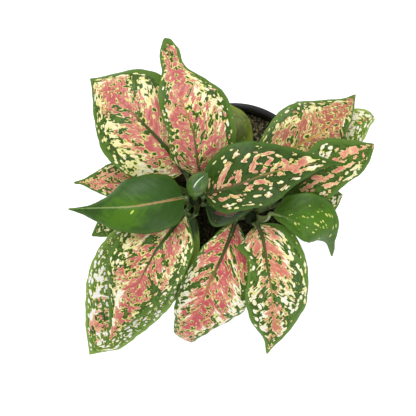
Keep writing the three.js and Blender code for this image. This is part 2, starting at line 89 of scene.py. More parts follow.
def half(widths, rise, curl):
    """One half of a blade from base to tip: how wide it is in mm, and how it rises and curls in degrees."""
    return {"widths": widths, "rise": rise, "curl": curl}


# stem is the cane's place in STEMS. foot is where the stalk leaves it, as a turn in degrees and a height.
# lean is how far the stalk leans out, base how much of the blade's length is rounded at its base, and rib
# the midrib's course. wave gives the height, the count and the phase of the waves at the margins.
LEAVES = [
    {
        "name": "leaf_back_left", "stem": 0, "foot": (118, 148), "lean": 0.12, "base": 0.16,
        "rib": [
            (-45, 9, 181), (-60, 29, 194), (-79, 49, 203), (-97, 67, 201), (-112, 80, 192),
            (-129, 92, 176),
        ],
        "left": half((26, 37, 41, 43.6, 43, 37, 27, 14, 1), (18, 6, 2), (6, 16, 12)),
        "right": half((24, 32, 37, 40, 42.4, 41.4, 31.4, 13.4, 1), (14, 2, 2), (10, 18, 14)),
        "wave": (1.6, 2.6, 0.1),
    },
    {
        "name": "leaf_back", "stem": 0, "foot": (66, 153), "lean": 0.12, "base": 0.14,
        "rib": [
            (-30, 3, 192), (-33, 18, 204), (-37, 43, 214), (-47, 70, 217), (-55, 99, 208),
            (-62, 126, 190),
        ],
        "left": half((18, 27, 25, 22, 21, 17, 10, 8, 2), (4, 4, 4), (48, 20, 10)),
        "right": half((22, 33, 36, 38, 36, 26, 11, 10, 5), (6, 4, 4), (22, 14, 12)),
        "wave": (1.5, 3.2, 0.35),
    },
    {
        "name": "leaf_old_green", "stem": 0, "foot": (38, 134), "lean": 0.45, "base": 0.2,
        "rib": [(-14, 1, 142), (-4, 23, 149), (1, 48, 152), (-5, 73, 144)],
        "left": half((8, 12, 14, 15, 15, 13, 10, 6, 1), (12, 6, 4), (10, 14, 10)),
        "right": half((9, 13, 15, 17, 17, 16, 14, 9, 1), (12, 6, 4), (10, 14, 10)),
        "wave": (0.8, 2, 0.2),
    },
    {
        "name": "leaf_back_right", "stem": 1, "foot": (100, 142), "lean": 0.12, "base": 0.16,
        "rib": [(20, 0, 178), (36, 19, 187), (57, 33, 190), (75, 43, 186), (93, 61, 175), (110, 80, 158)],
        "left": half((6, 16, 26, 34, 35, 34, 21.6, 8, 1), (14, 6, 4), (10, 16, 12)),
        "right": half((16, 25, 31, 33, 32, 26, 15, 9, 1), (8, -2, 0), (16, 18, 12)),
        "wave": (1.4, 3, 0.6),
    },
    {
        "name": "leaf_back_right_low", "stem": 1, "foot": (62, 134), "lean": 0.45, "base": 0.18,
        "rib": [
            (43, 4, 160), (66, 22, 168), (91, 40, 166), (116, 55, 156), (128, 60, 147), (130, 61, 134),
        ],
        "left": half((14, 22, 26, 27, 24, 19, 15, 8, 1), (12, 4, 2), (10, 16, 20)),
        "right": half((14, 22, 25, 26, 23, 19, 13, 4, 1), (12, 4, 2), (10, 16, 20)),
        "wave": (1.2, 2.4, 0.4),
    },
    {
        "name": "leaf_top_right", "stem": 0, "foot": (12, 157), "lean": 0.12, "base": 0.13,
        "rib": [
            (-27, -12, 203), (-14, -8, 213), (7, -1, 221), (23, 5, 223),
            (41, 10, 220), (57, 13, 215), (77, 16, 208), (96, 15, 199),
        ],
        "left": half((20, 27, 34, 33, 26, 18, 10, 3, 0.8), (14, 4, 2), (12, 16, 10)),
        "right": half((20, 22, 24, 27, 25, 16, 9, 3, 0.8), (10, 0, 2), (22, 24, 12)),
        "wave": (1, 2.2, 0.7),
    },
    {
        "name": "leaf_right", "stem": 1, "foot": (38, 147), "lean": 0.12, "base": 0.16,
        "rib": [(40, -13, 184), (55, -3, 191), (73, 9, 196), (96, 21, 190), (124, 34, 174)],
        "left": half((10, 14, 16, 19, 23, 22, 14, 8, 1), (14, 4, 2), (10, 14, 10)),
        "right": half((13, 22, 26, 26, 24, 21, 20, 14.5, 3), (8, 0, 0), (14, 16, 12)),
        "wave": (1.2, 2.8, 0.15),
    },
    {
        "name": "leaf_right_low", "stem": 1, "foot": (15, 131), "lean": 0.45, "base": 0.2,
        "rib": [(45, -19, 150), (64, -18, 156), (82, -15, 154), (100, -11, 144)],
        "left": half((8, 12, 15, 16, 16, 15, 13, 8, 1), (10, 4, 2), (8, 12, 10)),
        "right": half((8, 12, 15, 17, 17, 16, 14, 9, 1), (10, 4, 2), (8, 12, 10)),
        "wave": (0.8, 2, 0.5),
    },
    {
        "name": "leaf_shaded", "stem": 0, "foot": (-45, 146), "lean": 0.12, "base": 0.2,
        "rib": [(-26, -20, 176), (-12, -22, 181), (4, -23, 179), (17, -23, 171)],
        "left": half((10, 13, 15, 15, 13, 11, 8, 4, 1), (10, 4, 2), (8, 14, 10)),
        "right": half((11, 17, 19, 18, 16, 12, 8, 4, 1), (6, 0, 2), (16, 22, 12)),
        "wave": (1, 2, 0.3),
    },
    {
        "name": "leaf_green_right", "stem": 1, "foot": (-15, 152), "lean": 0.3, "base": 0.12,
        "rib": [
            (33, -28, 193), (45, -32, 202), (60, -38, 206), (75, -43, 199), (83, -50, 186),
            (88, -67, 162),
        ],
        "left": half((12, 20, 27, 28, 25, 15.5, 4.5, 3, 0.8), (14, 6, 6), (8, 14, 10)),
        "right": half((6, 7, 11, 14.5, 14.5, 10, 5, 2.5, 0.8), (-12, -14, -8), (10, 12, 10)),
        "wave": (0.8, 2, 0.6),
    },
    {
        "name": "leaf_green_left", "stem": 0, "foot": (180, 157), "lean": 0.12, "base": 0.1,
        "rib": [(-45, -14, 203), (-65, -18, 213), (-90, -22, 216), (-117, -23, 208), (-147, -24, 190)],
        "left": half((18, 23, 26, 26, 23, 19, 12, 5, 0.8), (12, 4, 4), (20, 30, 20)),
        "right": half((20, 24, 27, 27, 25, 12, 4.2, 1.4, 0.8), (12, 4, 4), (24, 34, 20)),
        "wave": (0.7, 2, 0.1),
    },
    {
        "name": "leaf_left_low", "stem": 0, "foot": (150, 138), "lean": 0.45, "base": 0.2,
        "rib": [(-67, 0, 158), (-94, 0, 165), (-121, -1, 162), (-147, 0, 148)],
        "left": half((8, 13, 16, 17, 14.6, 10.4, 6.4, 2, 1), (12, 6, 4), (8, 12, 10)),
        "right": half((8, 14, 18, 20, 18.6, 15.2, 9.2, 3.8, 1), (12, 6, 4), (8, 12, 10)),
        "wave": (0.8, 2.4, 0.8),
    },
    {
        "name": "leaf_left_lowest", "stem": 0, "foot": (205, 132), "lean": 0.45, "base": 0.2,
        "rib": [(-70, -19, 143), (-91, -29, 150), (-112, -40, 147), (-132, -49, 136)],
        "left": half((8, 12, 15, 16, 15, 12, 8, 4.5, 1), (10, 4, 2), (8, 12, 10)),
        "right": half((8, 12, 15, 17, 17, 16, 14, 8, 1), (10, 4, 2), (8, 12, 10)),
        "wave": (0.8, 2, 0.45),
    },
    {
        "name": "leaf_front_left", "stem": 0, "foot": (232, 148), "lean": 0.12, "base": 0.16,
        "rib": [
            (-45, -28, 184), (-57, -44, 193), (-69, -60, 197), (-80, -80, 194),
            (-90, -101, 185), (-103, -125, 171), (-118, -150, 154),
        ],
        "left": half((13, 25, 31, 32.6, 28.4, 20, 11, 4.4, 1), (12, 4, 4), (12, 18, 12)),
        "right": half((16, 27, 33, 36, 34, 25, 14, 5, 1), (10, 2, 4), (12, 18, 12)),
        "wave": (1.5, 2.6, 0.75),
    },
    {
        "name": "leaf_front_left_low", "stem": 0, "foot": (268, 137), "lean": 0.45, "base": 0.16,
        "rib": [
            (-37, -30, 160), (-59, -53, 167), (-81, -80, 167),
            (-102, -107, 158), (-119, -133, 144), (-135, -160.4, 127),
        ],
        "left": half((18, 28, 34, 38, 39, 36, 30, 22.5, 1.5), (10, 2, 2), (14, 16, 12)),
        "right": half((18, 31.4, 42.2, 46.6, 45.6, 38, 27, 14, 1), (10, 2, 2), (14, 16, 12)),
        "wave": (1.6, 3, 0.2),
    },
    {
        "name": "leaf_front", "stem": 1, "foot": (195, 139), "lean": 0.45, "base": 0.14,
        "rib": [
            (1, -35, 162), (-3, -46, 172), (-14, -72, 183), (-22, -88, 181),
            (-28, -105, 173), (-34, -127, 156), (-39, -146, 134), (-40, -150, 119),
        ],
        "left": half((10, 20, 29, 34.6, 40.4, 36, 17, 5, 1), (-12, -4, 4), (8, 14, 16)),
        "right": half((8, 12, 20, 22, 24.4, 24, 20.4, 17.6, 1), (16, 6, 4), (8, 14, 10)),
        "wave": (1.5, 3.4, 0.55),
    },
    {
        "name": "leaf_front_right", "stem": 1, "foot": (290, 146), "lean": 0.12, "base": 0.14,
        "rib": [
            (20, -38, 180), (24, -49, 189), (28, -75, 193), (32, -96, 187), (34, -128, 169),
            (30, -157, 147),
        ],
        "left": half((16, 28, 34.2, 35.4, 33, 30, 18.6, 8, 1), (10, 4, 4), (12, 18, 12)),
        "right": half((30, 27, 17, 20.6, 24.5, 23, 17.6, 6, 1), (4, 4, 4), (34, 20, 10)),
        "wave": (1.4, 2.8, 0.9),
    },
]

YOUNG_LEAF = {
    "name": "leaf_unfurling",
    "path": [
        (-36, -14.5, 158), (-35.5, -13, 180), (-35.5, -9, 202),
        (-33.5, -3.5, 219), (-29.5, 1.5, 231), (-24.4, 5.6, 241),
    ],
    "radii": (2.2, 2.2, 2.4, 3.2, 7, 8.6, 6.8, 0.5),
    "turns": 0.3,
    "step": 0.9,
    "step_share": 0.16,
    "sides": 96,
    "rows": 140,
    # The last value is where round the roll, as a share of a turn, the painted highlight lies.
    "painted_highlight": 0.635,
}

# The pot, the mix in it and the loose grains on it, in millimetres. raised is a share of a grain's size.
POT = {
    "height": 130, "rim": 75, "base": 53, "wall": 1.8, "floor": 2.4,
    "lip_reach": 3.6, "lip_depth": 9, "lip_thickness": 1.7, "edge": 0.5, "heel": 2, "inner_heel": 3,
    "sides": 160, "wall_rows": 12, "drains": 8, "drain_radius": 5, "drain_circle": 38, "drain_sides": 32,
}
# The mix's last value is how far back of the middle, in mm, the painted shade below the leaves fades out.
SOIL = {
    "top": 116, "mound": 3, "lump": 1.6, "gap": 0.6, "rings": 90, "sides": 180, "foot_inset": 3.6,
    "foot_rise": 3, "crumbs": ((4.0, 0.9), (1.8, 0.6), (0.8, 0.3)), "painted_shade_from": 35,
}
GRAINS = {"count": 900, "seed": 11, "from_wall": 4, "perlite_share": 0.12, "raised": 0.25, "tilt": 0.5}
# How fine each noise is, per metre.
FINE = {
    "stalk": 260.0, "cane": 180.0, "mould": 900.0, "dust": 34.0, "scuff": 90.0, "scuff_up": 700.0,
    "soil_coarse": 160.0, "soil_crumbly": 420.0, "soil_fine": 900.0, "grain": 1200.0, "floor": 60.0,
}


# Numbers and curves

def along(numbers, t):
    """The value at t (0 to 1) of a smooth curve through numbers at even steps."""
    numbers = np.asarray(numbers, float)
    place = np.clip(t, 0, 1) * (len(numbers) - 1)
    i = np.minimum(place.astype(int), len(numbers) - 2)
    f = place - i
    near = numbers[i]
    far = numbers[i + 1]
    slope_in = (far - numbers[np.maximum(i - 1, 0)]) / 2
    slope_out = (numbers[np.minimum(i + 2, len(numbers) - 1)] - near) / 2
    rest = 3 * (far - near) - 2 * slope_in - slope_out
    bend = 2 * (near - far) + slope_in + slope_out
    return near + f * (slope_in + f * (rest + f * bend))


def smoothstep(low, high, x):
    t = np.clip((x - low) / (high - low), 0, 1)
    return t * t * (3 - 2 * t)


def bell(x, width):
    """1 at zero, and hardly anything beyond twice the width."""
    return np.exp(-(x / width) ** 2)


def unit(vectors):
    return vectors / np.maximum(np.linalg.norm(vectors, axis=-1, keepdims=True), 1e-12)


def angles_round(sides):
    return 2 * math.pi * np.arange(sides) / sides


def table(*columns):
    """A row of values for each point, from arrays that stretch to one another's shape."""
    return np.stack(np.broadcast_arrays(*columns), axis=-1).reshape(-1, len(columns))


class Curve:
    """A curve given by many points, read by its share of the length."""

    def __init__(self, points):
        self.points = np.asarray(points, float)
        lengths = np.linalg.norm(np.diff(self.points, axis=0), axis=1)
        travelled = np.concatenate([[0], np.cumsum(lengths)])
        self.length = travelled[-1]
        self.shares = travelled / self.length

    def at(self, share):
        return np.stack([np.interp(share, self.shares, self.points[:, k]) for k in range(3)], axis=-1)

    def tangent(self, share):
        small = 0.004
        ahead = self.at(np.minimum(share + small, 1))
        behind = self.at(np.maximum(share - small, 0))
        return unit(ahead - behind)


def spline(points, steps=240):
    """A centripetal Catmull-Rom curve through points."""
    p = np.asarray(points, float)
    knots = np.vstack([2 * p[0] - p[1], p, 2 * p[-1] - p[-2]])
    out = []
    for i in range(len(p) - 1):
        p0, p1, p2, p3 = knots[i:i + 4]
        d0, d1, d2 = [math.sqrt(np.linalg.norm(b - a)) for a, b in ((p0, p1), (p1, p2), (p2, p3))]
        start = d1 * ((p1 - p0) / d0 - (p2 - p0) / (d0 + d1) + (p2 - p1) / d1)
        end = d1 * ((p2 - p1) / d1 - (p3 - p1) / (d1 + d2) + (p3 - p2) / d2)
        t = np.linspace(0, 1, steps, endpoint=i == len(p) - 2)[:, None]
        cubic = 2 * (p1 - p2) + start + end
        square = 3 * (p2 - p1) - 2 * start - end
        out.append(p1 + t * (start + t * (square + t * cubic)))
    return Curve(np.vstack(out))


def bezier(points, steps):
    """A Bezier curve with 3 or 4 control points."""
    t = np.linspace(0, 1, steps + 1)[:, None]
    level = [np.asarray(p, float) for p in points]
    while len(level) > 1:
        level = [(1 - t) * a + t * b for a, b in zip(level, level[1:])]
    return level[0]


# Meshes

def add_object(name, points, faces):
    """An object in the scene. points are in millimetres."""
    mesh = bpy.data.meshes.new(name)
    mesh.from_pydata((np.asarray(points) * MM).tolist(), [], faces)
    thing = bpy.data.objects.new(name, mesh)
    bpy.context.scene.collection.objects.link(thing)
    return thing


def make_mesh(name, points, faces, material, slot=None, **vectors):
    """A smooth-shaded object, with three numbers for each point under the name of each of the vectors."""
    thing = add_object(name, points, faces)
    mesh = thing.data
    mesh.polygons.foreach_set("use_smooth", [True] * len(mesh.polygons))
    for key, values in vectors.items():
        layer = mesh.attributes.new(key, "FLOAT_VECTOR", "POINT")
        layer.data.foreach_set("vector", np.asarray(values, np.float32).ravel())
    mesh.materials.append(material)
    mesh.update()
    if slot:
        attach(thing, "root")
    return thing


def tube_points(centre, across, over, reach, angles):
    """Rings of points round a curve, each as far out from it as reach says."""
    sideways = across[:, None] * (reach * np.cos(angles))[..., None]
    upward = over[:, None] * (reach * np.sin(angles))[..., None]
    return (centre[:, None] + sideways + upward).reshape(-1, 3)


def tube_faces(rings, sides, first=0):
    """Quads between rings of points, each ring with the same number of sides, and a face at each end."""
    faces = []
    for i in range(rings - 1):
        for j in range(sides):
            a = first + i * sides + j
            b = first + i * sides + (j + 1) % sides
            faces.append((a, b, b + sides, a + sides))
    last = first + (rings - 1) * sides
    faces.append(tuple(first + j for j in reversed(range(sides))))
    faces.append(tuple(last + j for j in range(sides)))
    return faces


def grid_faces(rows, columns, first=0, flip=False):
    faces = []
    for i in range(rows - 1):
        for j in range(columns - 1):
            a = first + i * columns + j
            quad = (a, a + columns, a + columns + 1, a + 1)
            faces.append(quad[::-1] if flip else quad)
    return faces


def bar_frames(curve, t):
    """Unit vectors across a curve, turned as little as can be from one step to the next."""
    forward = curve.tangent(t)
    across = [unit(np.cross(forward[0], (1, 0, 0)))]
    for f in forward[1:]:
        last = across[-1]
        across.append(unit(last - f * (last @ f)))
    across = np.array(across)
    return curve.at(t), across, np.cross(forward, across)


# Shader nodes

def rgb(red, green, blue):
    """A colour as it looks on a screen, from 0 to 255, as linear light."""
    shown = (red / 255, green / 255, blue / 255)
    linear = [c / 12.92 if c < 0.04045 else ((c + 0.055) / 1.055) ** 2.4 for c in shown]
    return (*linear, 1)


class Shader:
    """A node material, built a step at a time. A value is a number, a colour or another node's output."""

    def __init__(self, name):
        self.material = bpy.data.materials.new(name)
        self.material.use_nodes = True
        self.tree = self.material.node_tree
        self.surface = next(n for n in self.tree.nodes if n.type == "BSDF_PRINCIPLED")

    def set(self, socket, value):
        if isinstance(value, bpy.types.NodeSocket):
            self.tree.links.new(value, socket)
        else:
            socket.default_value = value

    def node(self, kind, inputs, **settings):
        """A node of a kind, with its inputs given by name or place."""
        made = self.tree.nodes.new(kind)
        for key, value in settings.items():
            setattr(made, key, value)
        for key, value in inputs.items():
            self.set(made.inputs[key], value)
        return made

    def math(self, operation, *values):
        return self.node("ShaderNodeMath", dict(enumerate(values)), operation=operation).outputs[0]

    def add(self, *values):
        total = values[0]
        for value in values[1:]:
            total = self.math("ADD", total, value)
        return total

    def minus(self, a, b):
        return self.math("SUBTRACT", a, b)

    def times(self, a, b):
        return self.math("MULTIPLY", a, b)

    def absolute(self, value):
        return self.math("ABSOLUTE", value)

    def vector(self, *values):
        return self.node("ShaderNodeCombineXYZ", dict(enumerate(values))).outputs[0]

    def split(self, vector):
        return self.node("ShaderNodeSeparateXYZ", {0: vector}).outputs

    def values(self, name):
        """The three numbers that the mesh holds under a name."""
        found = self.node("ShaderNodeAttribute", {}, attribute_name=name)
        return self.split(found.outputs["Vector"])

    def place(self):
        return self.node("ShaderNodeTexCoord", {}).outputs["Object"]

    def noise(self, vector, scale, detail=2.0, roughness=0.55, distortion=0.0):
        """Smooth noise of about unit spread round zero."""
        inputs = {
            "Vector": vector, "Scale": scale, "Detail": detail, "Roughness": roughness,
            "Distortion": distortion,
        }
        return self.math("MULTIPLY_ADD", self.node("ShaderNodeTexNoise", inputs).outputs[0], 9.0, -4.5)

    def cells(self, vector, scale):
        return self.node("ShaderNodeTexVoronoi", {"Vector": vector, "Scale": scale}, feature="F1").outputs

    def step(self, value, low, high):
        """0 below low, 1 above high, smooth between."""
        inputs = {"Value": value, "From Min": low, "From Max": high}
        return self.node("ShaderNodeMapRange", inputs, interpolation_type="SMOOTHSTEP").outputs[0]

    def blend(self, share, a, b):
        inputs = {0: share, 6: a, 7: b}
        return self.node("ShaderNodeMix", inputs, data_type="RGBA", blend_type="MIX").outputs[2]

    def darken(self, light, color, share, dark):
        """The color where light is 1, and a share of the way to dark where it is 0."""
        return self.blend(light, self.blend(share, color, dark), color)

    def ramp(self, value, stops):
        made = self.node("ShaderNodeValToRGB", {0: value})
        band = made.color_ramp
        while len(band.elements) < len(stops):
            band.elements.new(0.5)
        for element, (place, color) in zip(band.elements, stops):
            element.position = place
            element.color = color
        return made.outputs[0]

    def bump(self, height, distance_mm, strength=1.0):
        inputs = {"Height": height, "Distance": distance_mm * MM, "Strength": strength}
        return self.node("ShaderNodeBump", inputs).outputs[0]

    def finish(self, color, roughness, normal=None, specular=0.5, coat=0.0):
        self.set(self.surface.inputs["Base Color"], color)
        self.set(self.surface.inputs["Roughness"], roughness)
        self.set(self.surface.inputs["Specular IOR Level"], specular)
        self.set(self.surface.inputs["Coat Weight"], coat)
        if normal is not None:
            self.set(self.surface.inputs["Normal"], normal)
        return self.material


# Leaf colours

DARK_GREEN = rgb(54, 82, 20)
MID_GREEN = rgb(84, 118, 34)
EDGE_GREEN = rgb(90, 124, 42)
LIME = rgb(166, 186, 60)
BUFF = rgb(240, 230, 150)
CREAM = rgb(246, 236, 170)
WHITE = rgb(255, 252, 238)
PINK = rgb(196, 94, 96)
PALE_PINK = rgb(216, 138, 122)
TAN = rgb(176, 120, 66)
SHADOW_GREEN = (0.02, 0.03, 0.01, 1)
UNDERSIDE = rgb(132, 152, 100)

# How each leaf is marked. flecks is how much of the blade is green: -1.5 is a few flecks, 0 is half of it
# and 1.5 nearly all. margin is how much that grows over the outer band mm, and the last plain mm, on the
# left and on the right, have no spots. pink is how much of the rest is pink rather than cream beside the
# midrib, and pink_out how much of that is lost towards the margin. white is how white the cream is, from
# -1 to 1. greens are the dark, the middle and the edge green, pinks the strong and the pale pink, creams
# the cream and the white, and halo the lime and the buff round the green. freckles is how strongly round
# spots of cream break the green, with their size in mm and the share that shows.
# painted_shade_sheen_and_mottle is the green laid over the pink patches of a green leaf: painted shade and
# painted sheen, and on leaf_old_green a darker mottle. glow is the green laid over the white patches:
# painted light on one half of the blade. The streaks are drawn_out times as long as plain noise, and turn
# to follow the margin within turned mm of it. lined is how strong the fine cream lines on the pink are,
# rough how ragged the green is, and ruffle how far the margin waves in mm. rib gives the midrib's colours
# from the base of the blade to its tip, rib_width its half-width in mm, and rib_end where it fades. stalk
# gives the stalk's colours from its foot up, and sheath how far its wings stand out.
PLAIN_LOOK = {
    "flecks": -0.85, "margin": 1.25, "band": 14.0, "plain": (2.0, 2.0), "pink": 1.2, "pink_out": 3.4,
    "white": -0.3, "freckles": 2.6, "freckle_size": 3.0, "freckle_share": 0.6, "painted_shade_sheen_and_mottle": None,
    "glow": None, "drawn_out": 1.25, "turned": 18.0, "lined": 0.7, "ruffle": 0.2, "rib_width": 1.5,
    "rib_end": 0.62, "rough": 0.85, "sheath": 0.75, "slot": "leaf_variegated",
    "greens": (DARK_GREEN, MID_GREEN, EDGE_GREEN),
    "pinks": (PINK, PALE_PINK),
    "creams": (CREAM, WHITE),
    "halo": (LIME, BUFF),
    "rib": ((0.0, DARK_GREEN), (0.4, rgb(64, 76, 32)), (0.55, TAN), (0.7, PINK)),
    "stalk": (rgb(132, 146, 86), rgb(84, 114, 50), rgb(50, 72, 28)),
}
GREENS = {
    "slot": "leaf_green", "flecks": 3.5, "band": 3.0, "plain": (1.0, 1.0), "pink": 0.0,
    "pink_out": 0.0, "white": 0.0, "freckles": 0.0, "rib_end": 1.0, "ruffle": 0.1,
}
LEAF_LOOKS = {
    "leaf_back_left": {
        "plain": (2.2, 7.0), "pink": 1.4, "margin": 1.75, "band": 16.0, "rib_width": 2.6,
        "rib": ((0.0, rgb(54, 72, 22)), (0.45, rgb(60, 76, 26)), (0.56, rgb(150, 110, 70)), (0.7, PINK)),
    },
    "leaf_back": {
        "plain": (1.6, 2.6), "margin": 1.7, "pink": 1.3, "pink_out": 2.4, "rib_end": 0.52,
        "rib": ((0.0, rgb(92, 84, 40)), (0.35, rgb(110, 92, 46)), (0.46, rgb(176, 120, 60)), (0.56, PINK)),
    },
    # On this leaf the tint over the pink patch is a darker olive mottle.
    "leaf_old_green": {
        **GREENS,
        "flecks": 1.6, "rough": 0.9,
        "greens": (rgb(84, 104, 16), rgb(118, 134, 34), rgb(124, 142, 44)),
        "creams": (rgb(150, 166, 70), rgb(170, 186, 84)),
        "pinks": (rgb(140, 160, 56), rgb(160, 174, 80)),
        "halo": (rgb(120, 140, 44), rgb(140, 158, 60)),
        "painted_shade_sheen_and_mottle": rgb(78, 92, 22),
        "rib": ((0.0, rgb(120, 130, 60)), (1.0, rgb(150, 158, 92))),
    },
    "leaf_back_right": {
        "plain": (2.6, 1.4), "margin": 1.6, "pink": 1.8, "rib_end": 0.86,
        "pinks": (rgb(178, 98, 82), rgb(206, 146, 112)),
        "rib": (
            (0.0, rgb(120, 100, 50)), (0.45, rgb(182, 148, 66)), (0.66, rgb(206, 158, 92)),
            (0.85, rgb(196, 120, 92)),
        ),
    },
    "leaf_back_right_low": {
        "pink": -1.4, "flecks": 0.1, "white": 0.5, "margin": 0.5,
        "greens": (rgb(92, 124, 40), rgb(136, 168, 66), rgb(160, 186, 90)),
    },
    "leaf_top_right": {
        "flecks": 2.0, "drawn_out": 1.0, "margin": 0.8, "band": 8.0, "plain": (5.0, 3.0), "rough": 0.6,
        "pink": 1.35, "pink_out": 2.8, "freckles": 3.0, "freckle_size": 3.3, "freckle_share": 0.5,
        "rib_width": 1.3, "rib_end": 0.7,
        "greens": (rgb(38, 62, 12), rgb(56, 86, 20), rgb(70, 104, 30)),
        "pinks": (rgb(210, 118, 106), rgb(232, 180, 144)),
        "rib": (
            (0.0, rgb(84, 74, 42)), (0.3, rgb(100, 90, 48)), (0.5, rgb(140, 122, 52)),
            (0.62, rgb(220, 150, 120)),
        ),
    },
    "leaf_right": {
        "flecks": 1.5, "drawn_out": 1.0, "turned": 12.0, "margin": 0.8, "band": 6.0,
        "plain": (4.0, 2.0), "rough": 0.65, "pink": 1.9, "pink_out": 2.6, "freckle_size": 3.8,
        "rib_width": 1.1, "rib_end": 0.66,
        "pinks": (rgb(234, 142, 120), rgb(252, 194, 158)),
        "rib": (
            (0.0, DARK_GREEN), (0.44, rgb(74, 82, 34)), (0.55, rgb(196, 142, 84)),
            (0.7, rgb(214, 150, 110)),
        ),
    },
    "leaf_right_low": {
        "pink": -1.6, "flecks": 0.0, "white": 0.4, "margin": 0.6,
    },
    # Painted shade: every colour of this leaf is darkened for the shade of leaf_top_right above it.
    "leaf_shaded": {
        "flecks": 1.0, "pink": 2.2, "pink_out": 1.0, "freckles": 0.0, "lined": 0.0,
        "halo": (rgb(62, 78, 40), rgb(96, 88, 58)),
        "greens": (rgb(28, 48, 12), rgb(40, 66, 22), rgb(70, 100, 46)),
        "pinks": (rgb(112, 58, 54), rgb(128, 82, 66)),
        "creams": (rgb(112, 122, 80), rgb(140, 150, 110)),
    },
    # Painted sheen over its pink patches, and painted light over its white patch.
    "leaf_green_right": {
        **GREENS,
        "flecks": 3.0, "rough": 0.4, "freckles": 2.2, "freckle_share": 0.4, "freckle_size": 2.1,
        "rib_width": 0.7, "sheath": 1.5,
        "greens": (rgb(40, 72, 10), rgb(58, 92, 14), rgb(74, 112, 28)),
        "painted_shade_sheen_and_mottle": rgb(64, 98, 30),
        "glow": rgb(76, 120, 12),
        "creams": (rgb(196, 214, 96), rgb(210, 224, 120)),
        "pinks": (rgb(176, 200, 72), rgb(196, 214, 96)),
        "rib": ((0.0, rgb(110, 134, 70)), (0.3, rgb(66, 98, 26)), (1.0, rgb(84, 112, 40))),
        "stalk": (rgb(160, 178, 110), rgb(150, 172, 104), rgb(128, 156, 84)),
    },
    # Painted shade and sheen on its right half, over the pink patches, and painted light on its left half,
    # over the white patch.
    "leaf_green_left": {
        **GREENS,
        "rib_width": 1.1,
        "greens": (rgb(32, 58, 12), rgb(46, 80, 16), rgb(60, 96, 24)),
        "painted_shade_sheen_and_mottle": rgb(54, 90, 32),
        "glow": rgb(74, 118, 12),
        "creams": (rgb(190, 220, 60), rgb(190, 220, 60)),
        "pinks": (rgb(190, 220, 60), rgb(190, 220, 60)),
        "rib": (
            (0.0, rgb(156, 122, 74)), (0.35, rgb(168, 142, 92)), (0.5, rgb(140, 156, 96)),
            (1.0, rgb(120, 150, 80)),
        ),
    },
    # Painted light: its pinks and creams are made brighter to make up for the shade of leaf_green_left
    # above it.
    "leaf_left_low": {
        "pink": 2.3, "flecks": -0.45,
        "pinks": (rgb(232, 122, 120), rgb(250, 176, 152)),
        "creams": (rgb(255, 246, 190), rgb(255, 255, 246)),
    },
    "leaf_left_lowest": {
        "pink": -1.5, "flecks": 0.6, "margin": 0.4, "white": 0.2,
    },
    "leaf_front_left": {
        "plain": (1.6, 3.0), "band": 17.0, "ruffle": 0.3, "margin": 1.5, "rib_width": 2.2, "pink": 1.5,
        "pink_out": 3.2, "rib_end": 0.44,
    },
    # Painted shade: the tint over the pink patch at its base darkens it there. Its greens and creams are
    # made lighter as painted light, against the shade of leaf_front_left above it.
    "leaf_front_left_low": {
        "flecks": 0.15, "ruffle": 0.3, "margin": 0.6, "pink": -1.4, "pink_out": 0.6, "white": 1.0,
        "greens": (rgb(88, 120, 40), rgb(128, 162, 66), rgb(138, 170, 78)),
        "creams": (rgb(255, 248, 196), rgb(255, 255, 255)),
        "pinks": (rgb(226, 110, 116), rgb(246, 160, 150)),
        "painted_shade_sheen_and_mottle": rgb(50, 74, 34),
    },
    "leaf_front": {
        "ruffle": 0.4, "turned": 8.0, "drawn_out": 1.8, "lined": 0.9, "plain": (1.4, 1.0), "band": 7.0,
        "margin": 1.2, "pink": 1.55, "pink_out": 2.2, "white": 0.4, "rib_width": 2.4, "rib_end": 0.54,
        "pinks": (rgb(198, 84, 92), rgb(230, 136, 126)),
        "rib": ((0.0, rgb(56, 60, 22)), (0.3, rgb(74, 76, 32)), (0.44, rgb(160, 120, 60)), (0.58, PINK)),
    },
    "leaf_front_right": {
        "flecks": 0.1, "turned": 12.0, "drawn_out": 1.5, "margin": 1.8, "freckle_size": 3.9,
        "freckle_share": 0.8, "band": 18.0, "plain": (1.8, 3.0), "pink": 0.8, "pink_out": 3.0,
        "white": 0.2, "rib_width": 2.0, "rib_end": 0.5,
        "greens": (rgb(56, 86, 22), rgb(88, 124, 40), rgb(100, 136, 50)),
        "pinks": (rgb(208, 116, 98), rgb(236, 164, 136)),
        "rib": (
            (0.0, rgb(70, 68, 28)), (0.35, rgb(84, 86, 34)), (0.5, rgb(150, 150, 60)),
            (0.6, rgb(226, 170, 120)),
        ),
    },
}

